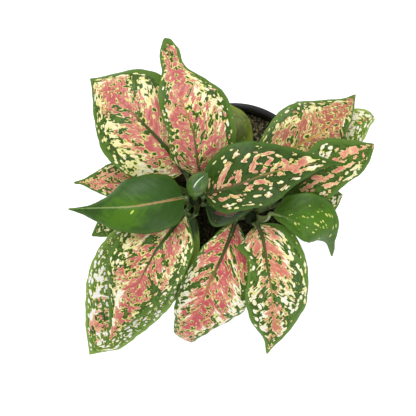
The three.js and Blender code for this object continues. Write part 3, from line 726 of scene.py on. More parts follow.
# Where a leaf is pinker, whiter or greener than its look says. Each patch gives u and v in hundredths, from
# 0 at the base to 100 at the tip and from -100 at the right margin to 100 at the left one, then its reach
# along and across the veins in mm, and by how much it differs.
PATCHES = {
    "leaf_back_left": {
        "pink": (
            (30, 25, 16, 16, 1), (73, 10, 12, 9, 2), (42, -30, 14, 11, 1.2), (63, -60, 12, 12, -2.4),
            (60, 35, 10, 8, -1), (93, 0, 12, 10, -2.4), (82, 60, 8, 12, -2.2), (45, 72, 14, 20, -1.5),
            (47, 42, 6, 6, 1.2), (70, 42, 4, 4, 1.6), (56, -72, 6, 6, 2.4), (76, -50, 5, 7, 1.4),
        ),
        "green": (
            (31, 22, 14, 11, -0.8), (74, 5, 10, 8, -0.9), (43, -25, 12, 9, -0.7), (62, -95, 8, 24, 1.6),
            (97, 0, 8, 8, 1.6), (60, 34, 10, 8, 1.5), (50, 42, 7, 3, 1.5), (57.5, 30, 10, 1.5, 2),
            (45, 80, 12, 26, 0.9), (31, 52, 2.4, 2.6, 3.2), (66.5, 22, 5, 1.9, 2.2),
            (52, -7, 9, 2.5, 2.2), (66, -40, 8, 2.4, 2.2), (38.5, 8, 3, 2.4, 2.6), (37, 36, 4, 2.2, 2),
            (26, 80, 8, 16, -0.9), (34, 88, 6, 30, -0.9), (70, -62, 7, 9, 0.9), (56, -55, 4, 4, 1.4),
            (14, 70, 8, 10, -0.7),
        ),
    },
    "leaf_back": {
        "pink": (
            (56, -75, 10, 11, -1.8), (68, -25, 11, 12, 1.8), (44, 50, 7, 9, 1.6), (25, 60, 7, 6, 2),
            (25, -45, 14, 12, 1.4), (43, -82, 4, 8, -1.5), (58, 70, 5, 12, -1.2), (85, 10, 4, 10, 1),
        ),
        "white": ((43, -80, 5, 8, 1), (50, 80, 6, 10, 0.8)),
        "green": (
            (30, -100, 7, 26, 0.8), (52, -76, 9, 16, 1), (66, -20, 9, 9, -0.8),
            (71.5, -20, 2.3, 2.3, 2.8), (44, 45, 6, 7, -1), (25, 58, 6, 5, -1.2), (16, 55, 8, 5, 1.5),
            (35, -10, 4, 4, 1.8), (28, -22, 3, 3, 1.6), (25, -50, 10, 10, -0.7), (43, -80, 4, 7, -1.2),
            (100, 0, 14, 12, 4), (58, 75, 5, 10, 0.6), (83, -30, 3, 6, 0.8),
        ),
    },
    "leaf_old_green": {
        "pink": ((55, -10, 14, 14, 1.6),),
        "green": ((66, -40, 1.2, 1.2, -2.6), (74, -66, 1, 1, -2.6), (58, -55, 1, 1, -2.6)),
    },
    "leaf_back_right": {
        "pink": (
            (30, 45, 8, 8, 1.4), (44, 30, 8, 7, 0.9), (55, 68, 5, 5, 1.2), (60, 20, 6, 7, -0.9),
            (69, 14, 8, 9, 1.8), (77, 55, 7, 9, -0.8), (80, 35, 2.6, 3, 1.8), (48, -25, 6, 7, 1.4),
            (70, -50, 7, 8, 0.8), (75, -10, 9, 9, 0.8),
        ),
        "white": ((32, 80, 12, 16, -1.4),),
        "green": (
            (30, 42, 7, 6, -1), (35, 62, 2.6, 2.6, 2.4), (37, 28, 5, 1.9, 2.4), (44, 35, 7, 6, -0.6),
            (55, 36, 5, 1.7, 2.6), (49, 66, 3, 1.6, 2.2), (69, 14, 8, 8, -0.9), (72, 60, 7, 9, 0.3),
            (45, 72, 6, 16, 0.5), (97, 0, 6, 5, 2), (24, 66, 3, 2.6, 1.8), (62, 80, 6, 14, 0.6),
            (40, 80, 5, 9, 0.8),
        ),
    },
    "leaf_back_right_low": {
        "pink": ((80, 5, 4, 5, 2.4), (70, 0, 4, 4, 2)),
        "green": ((85, -85, 10, 10, 0.4),),
    },
    "leaf_top_right": {
        "pink": (
            (66.5, 20, 4, 7, 2), (77, 25, 5, 6, -2), (66, -80, 3, 9, -3), (76, -40, 4, 7, -2.6),
            (52, -43, 3, 4, -3), (57, 25, 4, 8, 1), (50, 64, 3, 9, 0.9), (22, 45, 10, 9, 1.4),
            (86, 10, 12, 12, -1),
        ),
        "white": ((66, -60, 6, 12, 1.2),),
        "green": (
            (13, 14, 5, 3, -3.4), (22.5, 50, 9, 5, -3.2), (17, 33, 6, 3.6, -3.2), (19, 15, 5, 3, -3.4),
            (27.5, 25, 4.6, 3, -3.4), (27, 10, 6, 2.6, -3.4), (36, 55, 5, 3.8, -3.8),
            (38.5, 30, 6, 4, -3.6), (42, 52, 3, 2.2, -3.4), (31, 75, 4.5, 2.2, -3.4),
            (50, 64, 2.6, 9, -3.6), (48.5, 38, 2.6, 2.8, -3.6), (45, 20, 5, 3, -3.6),
            (50, 14, 3.6, 4.4, -3.8), (58, 27, 4, 7, -3.8), (66.5, 20, 3.6, 8, -3.8),
            (60, 0, 3, 12, -3.4), (67, 72, 2.4, 6, -3.4), (75, 60, 2.4, 5, -3.2), (75, 25, 2.6, 6, -3.2),
            (8, 50, 3, 2.2, -3), (46, 80, 1.5, 2.4, -3), (9, -10, 1.8, 4, -3.2),
            (12.5, -40, 2.2, 3.6, -3.2), (21.5, -40, 4, 4.2, -3.4), (30, -28, 3.6, 5, -3.4),
            (37.5, -16, 3.2, 7, -3.6), (43, -27, 4.5, 3.2, -3.4), (17.5, -65, 2.2, 5, -3.4),
            (11.5, -68, 2.2, 3.6, -3.4), (24.5, -80, 1.6, 3.6, -3.4), (28.5, -82, 1.6, 3.2, -3.4),
            (33.5, -90, 2.2, 3.8, -4.2), (35, -55, 2.2, 4, -3), (41.5, -68, 2.4, 5.6, -3.4),
            (52, -43, 2.2, 3.8, -3.8), (52, -68, 3.4, 3, -3.4), (57, -76, 1.8, 4, -3.2),
            (53, -17, 2.2, 6, -3.4), (65, -28, 2.4, 7, -3.6), (66, -72, 2.6, 8, -4),
            (74.5, -40, 3.2, 7, -3.6), (30, 42, 9, 1.6, 1.6), (20, 60, 6, 1.4, 1.6),
            (73.5, 66, 2.2, 5, -4.6), (80, 50, 1.8, 5, -4.2), (85, 25, 1.8, 5, -3.6),
            (82, -45, 1.6, 5, -4.2), (77.5, 5, 1.6, 7, 2.4),
        ),
    },
    "leaf_right": {
        "pink": ((37, -15, 5, 5, 1.8), (56, -30, 4, 8, 1.4), (53, 60, 8, 12, -4), (72, -70, 6, 14, -3)),
        "white": ((53, 60, 8, 12, 1.6),),
        "green": (
            (37, -17, 4.4, 4.4, -3.6), (28.5, -27, 3, 5, -3.2), (21.5, -20, 3, 4, -3),
            (40, -55, 4, 5, -3.2), (45, -36, 2.4, 6, -3), (56, -30, 3.2, 6, -3.6), (64, -36, 2, 5, -3.2),
            (55, -60, 2.2, 3.8, -3.4), (38.5, -78, 2.2, 2.8, -3.4), (49, -70, 2, 4, -3.4),
            (76, 30, 3.2, 7, -3.6), (67, 12, 2.8, 6, -3.4), (71, 22, 2.2, 4, -3), (78, 3, 2.4, 6, -3.2),
            (52.5, 72, 2.4, 2.6, -4.2), (49, 62, 1.9, 2.2, -3.6), (52, 56, 1.6, 1.8, -3.2),
            (56.5, 42, 2.8, 2, -4), (62.5, 42, 2, 3, -3.2), (46, 42, 2, 6, -3.2),
            (64, -88, 1.8, 8, -4.6), (70, -62, 1.7, 6, -3.4), (70, -33, 2, 4, -3.2),
            (74.5, -55, 1.8, 4, -3.4), (82, -50, 1.7, 3.4, -3), (88, 5, 1.8, 4, -3),
            (65, -14, 1.8, 4, -3.2), (50, 3, 2.2, 9, -2.6),
        ),
    },
    "leaf_shaded": {
        "green": (
            (30, -30, 3, 3, -2.8), (55, -30, 3, 4, -3), (28, -75, 3, 3, -2.6), (75, -20, 2.4, 4, -2.8),
            (42, -40, 2.4, 3, -2.6),
        ),
    },
    # The pink patches place the painted sheen, and the white patch the painted light.
    "leaf_green_right": {
        "pink": ((30, 80, 10, 12, 1.2), (85, 0, 14, 10, 0.3)),
        "white": ((45, 20, 26, 24, 1.8),),
        "green": ((48, 25, 17, 22, -2.4),),
    },
    # The pink patches place the painted shade and sheen on the right half, and the white patch the painted
    # light on the left half.
    "leaf_green_left": {
        "pink": ((35, -55, 26, 30, 1.4), (60, -60, 24, 16, 1.2)),
        "white": ((52, 50, 30, 24, 1.7),),
        "green": ((43, 22, 2.4, 1, -5.4), (42.5, 17, 1.8, 0.9, -4.8)),
    },
    "leaf_front_left": {
        "pink": (
            (27, -60, 6, 5, 1.8), (32, -22, 6, 7, 1.4), (40, -15, 5, 7, -1), (45, -33, 5, 5, 0.9),
            (52, -2, 8, 8, 2), (66, -55, 6, 16, -2.4), (66, 8, 7, 8, 1.8), (77, 35, 4, 9, 1.8),
            (57, 45, 6, 5, 1.6), (37, 12, 5, 3.4, 1.8), (30, 32, 6, 2.8, 1.4), (19, 25, 8, 7, 1.5),
            (10, 70, 4, 3.4, 1.8), (42, 55, 5, 3.2, 1.4), (42, -70, 8, 14, -1.6), (40, 40, 5, 4, -0.8),
            (35, -30, 12, 12, 0.9), (22, 85, 5, 18, -1.6),
        ),
        "white": ((66, -50, 8, 16, 1.6), (83, -50, 4, 12, 1.4), (45, -60, 8, 12, 0.8)),
        "green": (
            (25, -32, 5, 4.4, 2.4), (26, -15, 2.4, 6, 1.6), (35.5, -15, 2.8, 1.9, 2.4),
            (36, -42, 2.2, 2, 2), (52, 0, 8, 8, -0.8), (67, -45, 5, 10, -0.9), (72, 12, 2.6, 4, 2.8),
            (48, 50, 5, 5, 2), (55, 72, 3, 4, 1.8), (44, 25, 5, 1.8, 2.2), (25, 10, 5, 2.2, 2.4),
            (31.5, 36, 3, 2.2, 2.2), (12, 35, 6, 2.2, 2), (83, -30, 4, 9, -1), (42, -65, 9, 12, 0.5),
            (68, 92, 9, 24, 1.7), (22, 85, 5, 16, 0.4),
        ),
    },
    "leaf_front_left_low": {
        # The large pink patch at the base places the painted shade there, and the large green patch keeps
        # the base green below it.
        "pink": (
            (80, -28, 10, 14, 4), (68, -52, 5, 6, 2.6), (74, -42, 9, 9, 1.8), (10, 20, 26, 60, 3.6),
            (88, -5, 7, 8, 1.2),
        ),
        "green": (
            (82, -20, 8, 10, -0.8), (56, -72, 5, 9, -1.2), (97, 0, 8, 5, 2), (62, -62, 4, 12, -1),
            (77, -50, 9, 10, -1.4), (46, -45, 14, 6, 0.8), (5, 0, 22, 60, 3.4), (22, 60, 16, 30, 1.6),
        ),
    },
    "leaf_front": {
        "pink": (
            (24, -45, 10, 12, 1.6), (44, -45, 8, 2.6, 1), (55, -80, 8, 15, -2.8), (64, -50, 3, 3.2, 2.6),
            (71, -12, 6.5, 9, 2.6), (49, -10, 6, 6, 1.6), (58, 8, 6, 6, 1.2), (83, -60, 5, 6, 1),
            (34, 20, 7, 4, 1.8), (19, 75, 10, 8, 2.6), (29, 70, 8, 4, 2.2), (25, 40, 9, 5, -1),
            (41, 45, 7, 4, 1.6), (55, 45, 5, 5, 1.6), (54, 78, 7, 15, -3.4), (64, 45, 6, 8, -1.2),
            (83, 50, 7, 9, -2), (68, -70, 4, 8, 1.2),
        ),
        "white": ((56, -75, 8, 14, 2), (54, 72, 8, 12, 2.2), (66, 50, 8, 9, 1), (86, 30, 9, 12, 1.2)),
        "green": (
            (22, -35, 8, 9, -0.7), (33, -35, 3, 2.4, 2.6), (17, -35, 4, 2, 1.8), (42, -35, 9, 2, 2),
            (45.5, -40, 9, 1.8, 1.8), (54, -72, 7, 10, 0.4), (71, -12, 6, 8, -1.6), (86, -50, 5, 5, 0.6),
            (34, 20, 6, 3, -1), (19, 75, 8, 6, -1.6), (29, 72, 6, 3, -1.4), (23, 36, 9, 2.2, 2.2),
            (30, 48, 9, 1.9, 1.8), (53, 30, 3, 3, 2.2), (40, 94, 6, 8, 3), (52, 70, 6, 8, 0.2),
            (55.5, 83, 2.6, 5, 2.6), (64, 80, 2.8, 6, 2.8), (71, 76, 2.8, 5, 2.8), (77, 66, 2.6, 5, 2.6),
            (85, 55, 3, 5, 2.4), (64, 30, 5, 4, 0.8), (98, 0, 3, 16, 2.6), (36, 2, 3, 5, 1.2),
            (60, -30, 9, 2, 1.4), (48, -85, 6, 2.2, 1.4), (60, -80, 6, 2.2, 1.4),
        ),
    },
    "leaf_front_right": {
        "pink": (
            (8, 40, 6, 5, 2), (19, 18, 12, 5, 2.4), (34, 28, 12, 6, 2.2), (30, 75, 8, 16, -1.8),
            (46, 35, 10, 5, -0.5), (58, 45, 8, 7, -2.4), (56, 4, 4, 5, 2.2), (73, 5, 6, 9, 2),
            (7, -50, 6, 5, 2.2), (12.5, -55, 5, 4, 1.6), (18, -35, 6, 6, 2.4), (33, -60, 4, 5, 2.4),
            (40, -22, 5, 6, 2), (62, -50, 8, 14, -2.4), (50, -88, 5, 26, -2),
        ),
        "white": ((58, 42, 8, 8, 1.6), (80, 0, 14, 16, 1.6), (64, -50, 8, 14, 1.6)),
        "green": (
            (8, 36, 5, 4, -2), (19, 20, 11, 4.5, -2.4), (34, 28, 11, 6, -2.2), (26.5, 20, 10, 1.8, 2.8),
            (15, 78, 12, 14, 1.8), (15.5, 65, 2.8, 3, -4), (25, 66, 3.6, 2.6, -3.2),
            (24, 46, 5, 2.6, -2), (34, 56, 4, 3.4, -2.2), (32, 72, 3, 2.6, -2.4), (37, 80, 3, 2.6, -2.4),
            (35, 92, 1.8, 5, -4.2), (43, 84, 2.2, 6, -3.4), (32, 80, 12, 10, 1), (46, 35, 10, 5, -1.2),
            (54, 20, 7, 3, 2.6), (58, 38, 6, 4, -1.4), (73, 5, 5, 8, -1), (66, 60, 6, 3, 1.8),
            (87, 5, 3, 3, 1.8), (7, -50, 5, 4, -2), (10, -85, 8, 8, 1.4), (18, -35, 5, 5, -1.4),
            (49, -35, 6, 4, 1.4), (66, -40, 6, 9, -0.6), (42, -80, 6, 22, -1.6), (62, -90, 4, 24, -0.7),
            (72, -85, 4.5, 18, -0.6), (55, 90, 4, 18, -1.4), (36, -55, 6, 5, 1),
        ),
    },
}

# The noises of the markings: reach along and across the veins in mm, shift, detail, distortion, strength.
NOISES = {
    "islands": (6.6, 4.4, 0.0, 1.5, 0.5, 0.75),
    "islets": (3.2, 2.2, 11.0, 1.0, 0.4, 0.6),
    "clouds": (13.0, 10.0, 37.0, 2.0, 0.0, 0.6),
    "small_clouds": (6.5, 4.2, 51.0, 2.0, 0.0, 0.85),
    "fibres": (5.0, 2.0, 67.0, 2.0, 0.0, 1.0),
    "whiteness": (10.0, 5.0, 83.0, 2.0, 0.0, 0.7),
}
# Round spots: their size in mm, their reach in sizes from small to large, and the share of them that shows.
FLECKS = {"size": 4.2, "shift": 21.0, "small": 0.14, "large": 0.4, "common": 0.65}
FRECKLES = {"shift": 0.0, "small": 0.26, "large": 0.5}
FLECK_STRENGTH = 2.2
SPOT_SHARE = 0.62
# Each leaf, and each half of it, takes another part of the noise.
SEED_SHIFT = 3.7
SPOT_SEED_SHIFT = 2.3
SIDE_SHIFT = 31.0
# How the green grows towards the margin, as shares of its band and of the plain mm beyond it.
MARGIN = {"from": 0.25, "widest": 0.5, "least_mm": 0.5, "plain": 3, "plain_to": 0.35, "plain_from": 1.15}
PINK_LOST_POWER = 1.5
# Shares and sizes of the smaller effects.
SKIN = {
    "turned_wholly": 0.35, "streaks_across": 1.1, "streaks_along": 0.06, "streaks_shade": 0.14,
    "green_crowds": 0.1, "blotch_crowds": 0.07, "crowds_from": -0.8, "pink_depth": 0.45,
    "fibre_depth": 0.6, "depth_shift": -0.7, "ragged_edge": 0.8, "ragged_tint": 0.25, "vein_light": 0.25,
    "midrib_taper": 0.75, "midrib_ragged": 0.12, "midrib_fade": 0.12, "pale_below": 0.55,
    "pores_per_mm": 1.6, "streaks_high": 0.35, "pores_high": 0.25, "bump_mm": 0.05, "bump": 0.6,
    "roughness": 0.38, "rougher": 0.1, "specular": 0.28,
}
# Where each effect begins and where it is full, on the noise that steers it or in mm from the margin.
BANDS = {
    "green": (-0.05, 0.06),
    "lime": (0.23, 0.05),
    "buff": (0.5, 0.3),
    "freckle": (-0.07, 0.07),
    "pink": (-0.12, 0.2),
    "strong_pink": (-1.1, 0.9),
    "white": (-0.8, 0.9),
    "fine_lines": (0.24, 0.06),
    "not_too_pink": (1.8, 0.2),
    "middle_green": (0.3, 2.2),
    "edge_green": (6.0, 0.5),
    "tint": (0.1, 1.6),
    "vein_lines": (0.16, 0.0),
    "streaks": (-1.6, 1.6),
    "midrib": (0.35, -0.35),
    "gloss": (-2.0, 2.0),
}


class BladeShader(Shader):
    """Green islands edged with lime and cream on pink and cream, all drawn out along the veins."""

    def __init__(self, leaf, look, length, seed):
        super().__init__(leaf["name"] + "_colours")
        self.look = look
        self.seed = seed
        self.slant, self.out, self.edge = self.values("vein")
        self.share, self.apart, self.under = self.values("place")
        self.more_pink, self.more_white, self.more_green = self.values("patch")
        self.forward = self.times(self.share, length)
        self.side = self.times(self.math("SIGN", self.out), SIDE_SHIFT)
        self.near_margin = self.step(self.edge, look["turned"], SKIN["turned_wholly"] * look["turned"])
        self.blotch = self.add(self.drawn_out("islands"), self.drawn_out("islets"))
        self.ground = self.add(self.drawn_out("clouds"), self.drawn_out("small_clouds"))
        self.fibres = self.drawn_out("fibres")
        across = self.times(self.slant, SKIN["streaks_across"])
        self.streaks = self.noise(
            self.vector(across, self.times(self.out, SKIN["streaks_along"]), seed), 1.0, 3.0)

    def band(self, name, value):
        return self.step(value, *BANDS[name])

    def drawn_out(self, name):
        """Noise drawn out along the veins, which turns to run along the margin near it."""
        long, wide, shift, detail, distortion, strength = NOISES[name]
        shift += self.seed * SEED_SHIFT
        stretched = long * self.look["drawn_out"]
        by_vein = self.vector(self.times(self.slant, 1 / wide), self.times(self.out, 1 / stretched), shift)
        by_margin = self.vector(
            self.times(self.edge, 1 / wide), self.times(self.forward, 1 / long), self.add(self.side, shift))
        inner = self.noise(by_vein, 1.0, detail, distortion=distortion)
        outer = self.noise(by_margin, 1.0, detail, distortion=distortion)
        noise = self.add(inner, self.times(self.near_margin, self.minus(outer, inner)))
        return self.times(noise, strength)

    def spots(self, size, shift, small, large, common):
        """How far inside a scattered spot each place is, in spot sizes. common is the share kept."""
        shift += self.seed * SPOT_SEED_SHIFT
        place = self.vector(
            self.times(self.edge, 1 / size), self.times(self.forward, SPOT_SHARE / size),
            self.add(self.side, shift))
        cells = self.cells(place, 1.0)
        chance, spread, _ = self.split(cells["Color"])
        reach = self.math("MULTIPLY_ADD", spread, large - small, small)
        absent = self.times(self.step(chance, common, common + 0.02), -2.0)
        return self.minus(self.add(reach, absent), cells["Distance"])

    def green_level(self):
        """Above zero the blade is green: the islands, and small flecks, but for round freckles of cream."""
        look = self.look
        level = self.add(self.more_green, self.times(self.blotch, look["rough"]))
        greener = self.minus(self.more_green, SKIN["crowds_from"])
        crowding = self.add(
            self.times(greener, SKIN["green_crowds"]), self.times(self.blotch, SKIN["blotch_crowds"]))
        fleck = self.add(self.spots(**FLECKS), crowding)
        level = self.math("MAXIMUM", level, self.times(fleck, FLECK_STRENGTH))
        freckle = self.spots(size=look["freckle_size"], common=look["freckle_share"], **FRECKLES)
        return self.add(level, self.times(self.band("freckle", freckle), -look["freckles"]))

    def ground_color(self):
        """Pink and cream, where nothing is green."""
        look = self.look
        white_at = self.add(self.more_white, self.drawn_out("whiteness"))
        cream = self.blend(self.band("white", white_at), *look["creams"])
        pink_at = self.add(self.more_pink, self.ground)
        depth = self.add(
            self.times(pink_at, SKIN["pink_depth"]), self.times(self.fibres, SKIN["fibre_depth"]),
            SKIN["depth_shift"])
        strong, pale = look["pinks"]
        pink = self.blend(self.band("strong_pink", depth), pale, strong)
        color = self.blend(self.band("pink", pink_at), cream, pink)
        lines = self.times(self.band("fine_lines", self.absolute(self.fibres)), look["lined"])
        return self.blend(self.times(lines, self.band("not_too_pink", pink_at)), color, look["halo"][1])

    def green_color(self, green_at):
        dark, middle, light = self.look["greens"]
        color = self.blend(self.band("middle_green", green_at), dark, middle)
        ragged = self.times(self.blotch, SKIN["ragged_edge"])
        near_edge = self.band("edge_green", self.add(self.edge, ragged))
        color = self.blend(near_edge, color, light)
        # Painted shade and sheen over the pink patches, and painted light over the white patches: on some
        # green leaves a tint stands in for how light falls on each half of the blade. On leaf_old_green the
        # tint over its pink patch is a darker mottle.
        for tint, level in ((self.look["painted_shade_sheen_and_mottle"], self.more_pink), (self.look["glow"], self.more_white)):
            if tint:
                ragged = self.times(self.ground, SKIN["ragged_tint"])
                color = self.blend(self.band("tint", self.add(level, ragged)), color, tint)
        waves = self.math("SINE", self.times(self.slant, math.pi / VEIN_EVERY))
        lines = self.band("vein_lines", self.absolute(waves))
        return self.blend(self.times(lines, SKIN["vein_light"]), color, light)

    def with_midrib(self, color):
        width = self.look["rib_width"]
        end = self.look["rib_end"]
        half_width = self.math("MULTIPLY_ADD", self.share, -SKIN["midrib_taper"] * width / end, width)
        ragged = self.times(self.fibres, SKIN["midrib_ragged"])
        beside = self.band("midrib", self.add(self.minus(self.apart, half_width), ragged))
        shown = self.times(beside, self.step(self.share, end + SKIN["midrib_fade"], end))
        return self.blend(shown, color, self.ramp(self.share, self.look["rib"]))

    def color(self):
        lime, buff = self.look["halo"]
        green_at = self.green_level()
        inside = self.times(green_at, -1.0)
        color = self.blend(self.band("buff", inside), self.ground_color(), buff)
        color = self.blend(self.band("lime", inside), color, lime)
        color = self.blend(self.band("green", green_at), color, self.green_color(green_at))
        light = self.band("streaks", self.streaks)
        color = self.darken(light, color, SKIN["streaks_shade"], SHADOW_GREEN)
        pale = self.times(self.under, SKIN["pale_below"])
        return self.blend(pale, self.with_midrib(color), UNDERSIDE)

    def skin(self):
        pores = self.cells(self.vector(self.slant, self.out, 0.0), SKIN["pores_per_mm"])["Distance"]
        streaks = self.times(self.streaks, SKIN["streaks_high"])
        height = self.add(streaks, self.times(pores, SKIN["pores_high"]))
        gloss = self.band("gloss", self.blotch)
        roughness = self.math("MULTIPLY_ADD", gloss, SKIN["rougher"], SKIN["roughness"])
        normal = self.bump(height, SKIN["bump_mm"], SKIN["bump"])
        return self.finish(self.color(), roughness, normal, SKIN["specular"])


# Leaves

def rib_frame(rib, u):
    """The midrib's places at u, and unit vectors to the left of it and up."""
    forward = rib.tangent(u)
    side = unit(np.cross((0, 0, 1), forward * (1, 1, 0)))
    return rib.at(u), side, unit(np.cross(forward, side))


def on_each_half(leaf, key, u, v):
    right, left = [along(leaf[side][key], u)[:, None] for side in ("right", "left")]
    return np.where(v[None, :] < 0, right, left)


def rounded_ends(leaf, u):
    """The share of the width that the rounded base and the tip leave."""
    base = 1 - np.maximum(1 - u / leaf["base"], 0) ** 2
    tip = 1 - np.maximum(1 - (1 - u) / BLADE["tip"], 0) ** 2
    return (np.sqrt(np.maximum(base, 0)) * np.sqrt(np.maximum(tip, 0.02)))[:, None]


def blade_grid(leaf, rib, u, v):
    """The upper face on a grid of u (base 0 to tip 1) by v (-1 right margin to 1 left), and the widths."""
    centre, side, normal = rib_frame(rib, u)
    share = np.abs(v)[None, :]
    width = on_each_half(leaf, "widths", u, v) * rounded_ends(leaf, u)
    rise = np.radians(on_each_half(leaf, "rise", u, v))
    curl = np.radians(on_each_half(leaf, "curl", u, v))
    chord = width * share / BLADE["arc_steps"]
    out = np.zeros_like(width)
    lift = np.zeros_like(width)
    for i in range(BLADE["arc_steps"]):
        outward = share * (i + 0.5) / BLADE["arc_steps"]
        angle = rise - curl * BLADE["curl_share"] * outward ** BLADE["curl_power"]
        out += chord * np.cos(angle)
        lift += chord * np.sin(angle)
    height, count, phase = leaf["wave"]
    turn = 2 * math.pi * (count * u[:, None] + phase + np.where(v[None, :] < 0, BLADE["wave_shift"], 0))
    lift += height * share ** 2 * np.sin(turn) * np.sin(math.pi * u)[:, None]
    sign = np.sign(v)[None, :, None]
    points = centre[:, None] + side[:, None] * sign * out[..., None] + normal[:, None] * lift[..., None]
    return points, width


def grid_normals(points):
    return unit(np.cross(np.gradient(points, axis=0), np.gradient(points, axis=1)))


def vein_place(length, u, v, width):
    """Where the vein through a point leaves the midrib, and the point's signed distance out along it."""
    apart = np.abs(v)[None, :] * width
    slant = u[:, None] * length - VEIN_SLANT * apart - VEIN_BEND * apart ** 2
    return slant, np.sign(v)[None, :] * apart * math.hypot(1, VEIN_SLANT), apart


def patch_fields(leaf, look, u, v, slant, out, apart, width):
    """How pink, how white and how green each point is before the noise is added."""
    edge = width - apart
    band = np.minimum(look["band"], MARGIN["widest"] * width + MARGIN["least_mm"])
    plain = np.where(v < 0, look["plain"][1], look["plain"][0])[None, :]
    green = look["flecks"] + look["margin"] * (1 - smoothstep(MARGIN["from"] * band, band, edge))
    in_noise = smoothstep(MARGIN["plain_to"] * plain, MARGIN["plain_from"] * plain, edge)
    pink_lost = look["pink_out"] * np.abs(v)[None, :] ** PINK_LOST_POWER
    fields = {
        "pink": look["pink"] - pink_lost + 0 * width,
        "white": look["white"] + 0 * width,
        "green": green + MARGIN["plain"] * (1 - in_noise),
    }
    for kind, patches in PATCHES.get(leaf["name"], {}).items():
        for at_u, at_v, long, wide, strength in patches:
            row = np.argmin(np.abs(u - at_u / 100))
            column = np.argmin(np.abs(v - at_v / 100))
            away = np.hypot((slant - slant[row, column]) / wide, (out - out[row, column]) / long)
            fields[kind] = fields[kind] + strength * bell(away, 1)
    return table(fields["pink"], fields["white"], fields["green"])


def ruffled(leaf, look, rib, u, v, top, normals):
    """The upper face with small waves at its margin."""
    turn = 2 * math.pi * rib.length * u[:, None] / RUFFLE["every"]
    phase = RUFFLE["shift"] * leaf["wave"][2] + np.where(v < 0, RUFFLE["side_shift"], 0)[None, :]
    waves = np.sin(turn + phase) + RUFFLE["lower"] * np.sin(RUFFLE["faster"] * turn + 2 * phase)
    near_edge = np.abs(v)[None, :] ** RUFFLE["power"] * np.sin(math.pi * np.clip(u, 0, 1))[:, None] ** 0.5
    outward = unit(np.gradient(top, axis=1)) * np.sign(v)[None, :, None]
    way = normals + outward * RUFFLE["outward"]
    return top + (waves * near_edge)[..., None] * way * look["ruffle"]


def blade_faces(rows, columns):
    """The upper face, the lower one and the rim between them."""
    count = rows * columns
    faces = grid_faces(rows, columns) + grid_faces(rows, columns, first=count, flip=True)
    grid = np.arange(count).reshape(rows, columns)
    rim = np.concatenate([grid[0, :-1], grid[:-1, -1], grid[-1, :0:-1], grid[:0:-1, 0]]).tolist()
    return faces + [(p, q, count + q, count + p) for p, q in zip(rim, rim[1:] + rim[:1])]


def blade_parts(leaf, look, rib):
    """Points, faces and values of a closed blade with its sunken midrib, keel and quilted veins."""
    rows = round(rib.length / BLADE["step"])
    half_columns = round(max(leaf["left"]["widths"] + leaf["right"]["widths"]) / BLADE["step"])
    first = BLADE["first_row"]
    u = first + (1 - first) * (np.arange(rows + 1) / rows) ** BLADE["row_power"]
    v = np.arange(-half_columns, half_columns + 1) / half_columns
    top, width = blade_grid(leaf, rib, u, v)
    slant, out, apart = vein_place(rib.length, u, v, width)
    edge = width - apart
    fade = (1 - u)[:, None]
    groove = -BLADE["groove"] * bell(apart, BLADE["groove_width"]) * fade
    quilt = BLADE["quilt"] * np.cos(2 * math.pi * slant / VEIN_EVERY) * fade ** 0.5
    quilt = quilt * smoothstep(BLADE["quilt_from"], BLADE["quilt_to"], apart)
    quilt = quilt * np.minimum(edge / BLADE["flat_margin"], 1)
    keel = BLADE["keel"] * fade * bell(apart, BLADE["keel_width"])
    thin = BLADE["margin_thickness"]
    depth = BLADE["thickness"] * (thin + (1 - thin) * smoothstep(0, BLADE["margin"], edge))
    normals = grid_normals(top)
    top = ruffled(leaf, look, rib, u, v, top, normals) + normals * (groove + quilt)[..., None]
    bottom = top - normals * (depth + keel - groove * BLADE["groove_below"])[..., None]
    values = {
        "vein": np.tile(table(slant, out, edge), (2, 1)),
        "place": np.concatenate([table(u[:, None], apart, under) for under in (0, 1)]),
        "patch": np.tile(patch_fields(leaf, look, u, v, slant, out, apart, width), (2, 1)),
    }
    points = np.concatenate([top.reshape(-1, 3), bottom.reshape(-1, 3)])
    return points, blade_faces(rows + 1, len(v)), values


def stem_curve(cane):
    foot = cane["foot"]
    crown = cane["crown"]
    middle = (foot[0], foot[1], (foot[2] + crown[2]) / 2)
    return Curve(bezier((foot, middle, crown), 120))


def stalk_curve(leaf, rib):
    """The stalk leaves the cane steeply, arches out and runs on under the blade."""
    cane = STEMS[leaf["stem"]]
    turn, height = leaf["foot"]
    away = np.array([math.cos(math.radians(turn)), math.sin(math.radians(turn)), 0])
    share = (height - cane["foot"][2]) / (cane["crown"][2] - cane["foot"][2])
    start = stem_curve(cane).at(share) + away * cane["radius"] * STALK["foot_out"]
    base = rib.at(0)
    span = np.linalg.norm(base - start)
    climb = STALK["climb"] - STALK["climb_lost"] * leaf["lean"]
    rise = start + np.array([0, 0, 1]) * climb * span + away * leaf["lean"] * span
    bend = base - rib.tangent(0) * STALK["pull"] * span
    points = list(bezier((start, rise, bend, base), STALK["steps_of_climb"])[:-1])
    run = (STALK["run_start"], STALK["run"] / 2, STALK["run"])
    for u, depth in zip(run, STALK["run_depths"]):
        centre, _, normal = rib_frame(rib, np.array([u]))
        points.append(centre[0] - normal[0] * depth)
    return spline(points, 60), away


def stalk_reach(look, t, angles):
    """How far out a stalk's skin is. It tapers, is grooved on its inner side and has wings at its foot."""
    foot = STALK["foot_radius"]
    neck = STALK["neck_radius"]
    taper = STALK["taper_from"]
    below = foot + (neck - foot) * t / taper
    above = neck * (1 + (STALK["end_radius"] - 1) * (t - taper) / (1 - taper))
    radius = np.where(t < taper, below, above)
    whole = 2 * math.pi
    groove = 1 - STALK["groove"] * sum(bell(angles - a, STALK["groove_turn"]) for a in (0, whole))
    wing_places = (STALK["wing_at"], whole - STALK["wing_at"])
    wing = sum(bell(angles - a, STALK["wing_turn"]) for a in wing_places)
    wings = look["sheath"] * np.clip(1 - t / STALK["wing_to"], 0, 1) ** STALK["wing_power"]
    wings = wings * np.sin(np.clip(t / STALK["wing_from"], 0, 1) * math.pi / 2)
    return radius[:, None] * (groove[None, :] + wings[:, None] * wing[None, :])


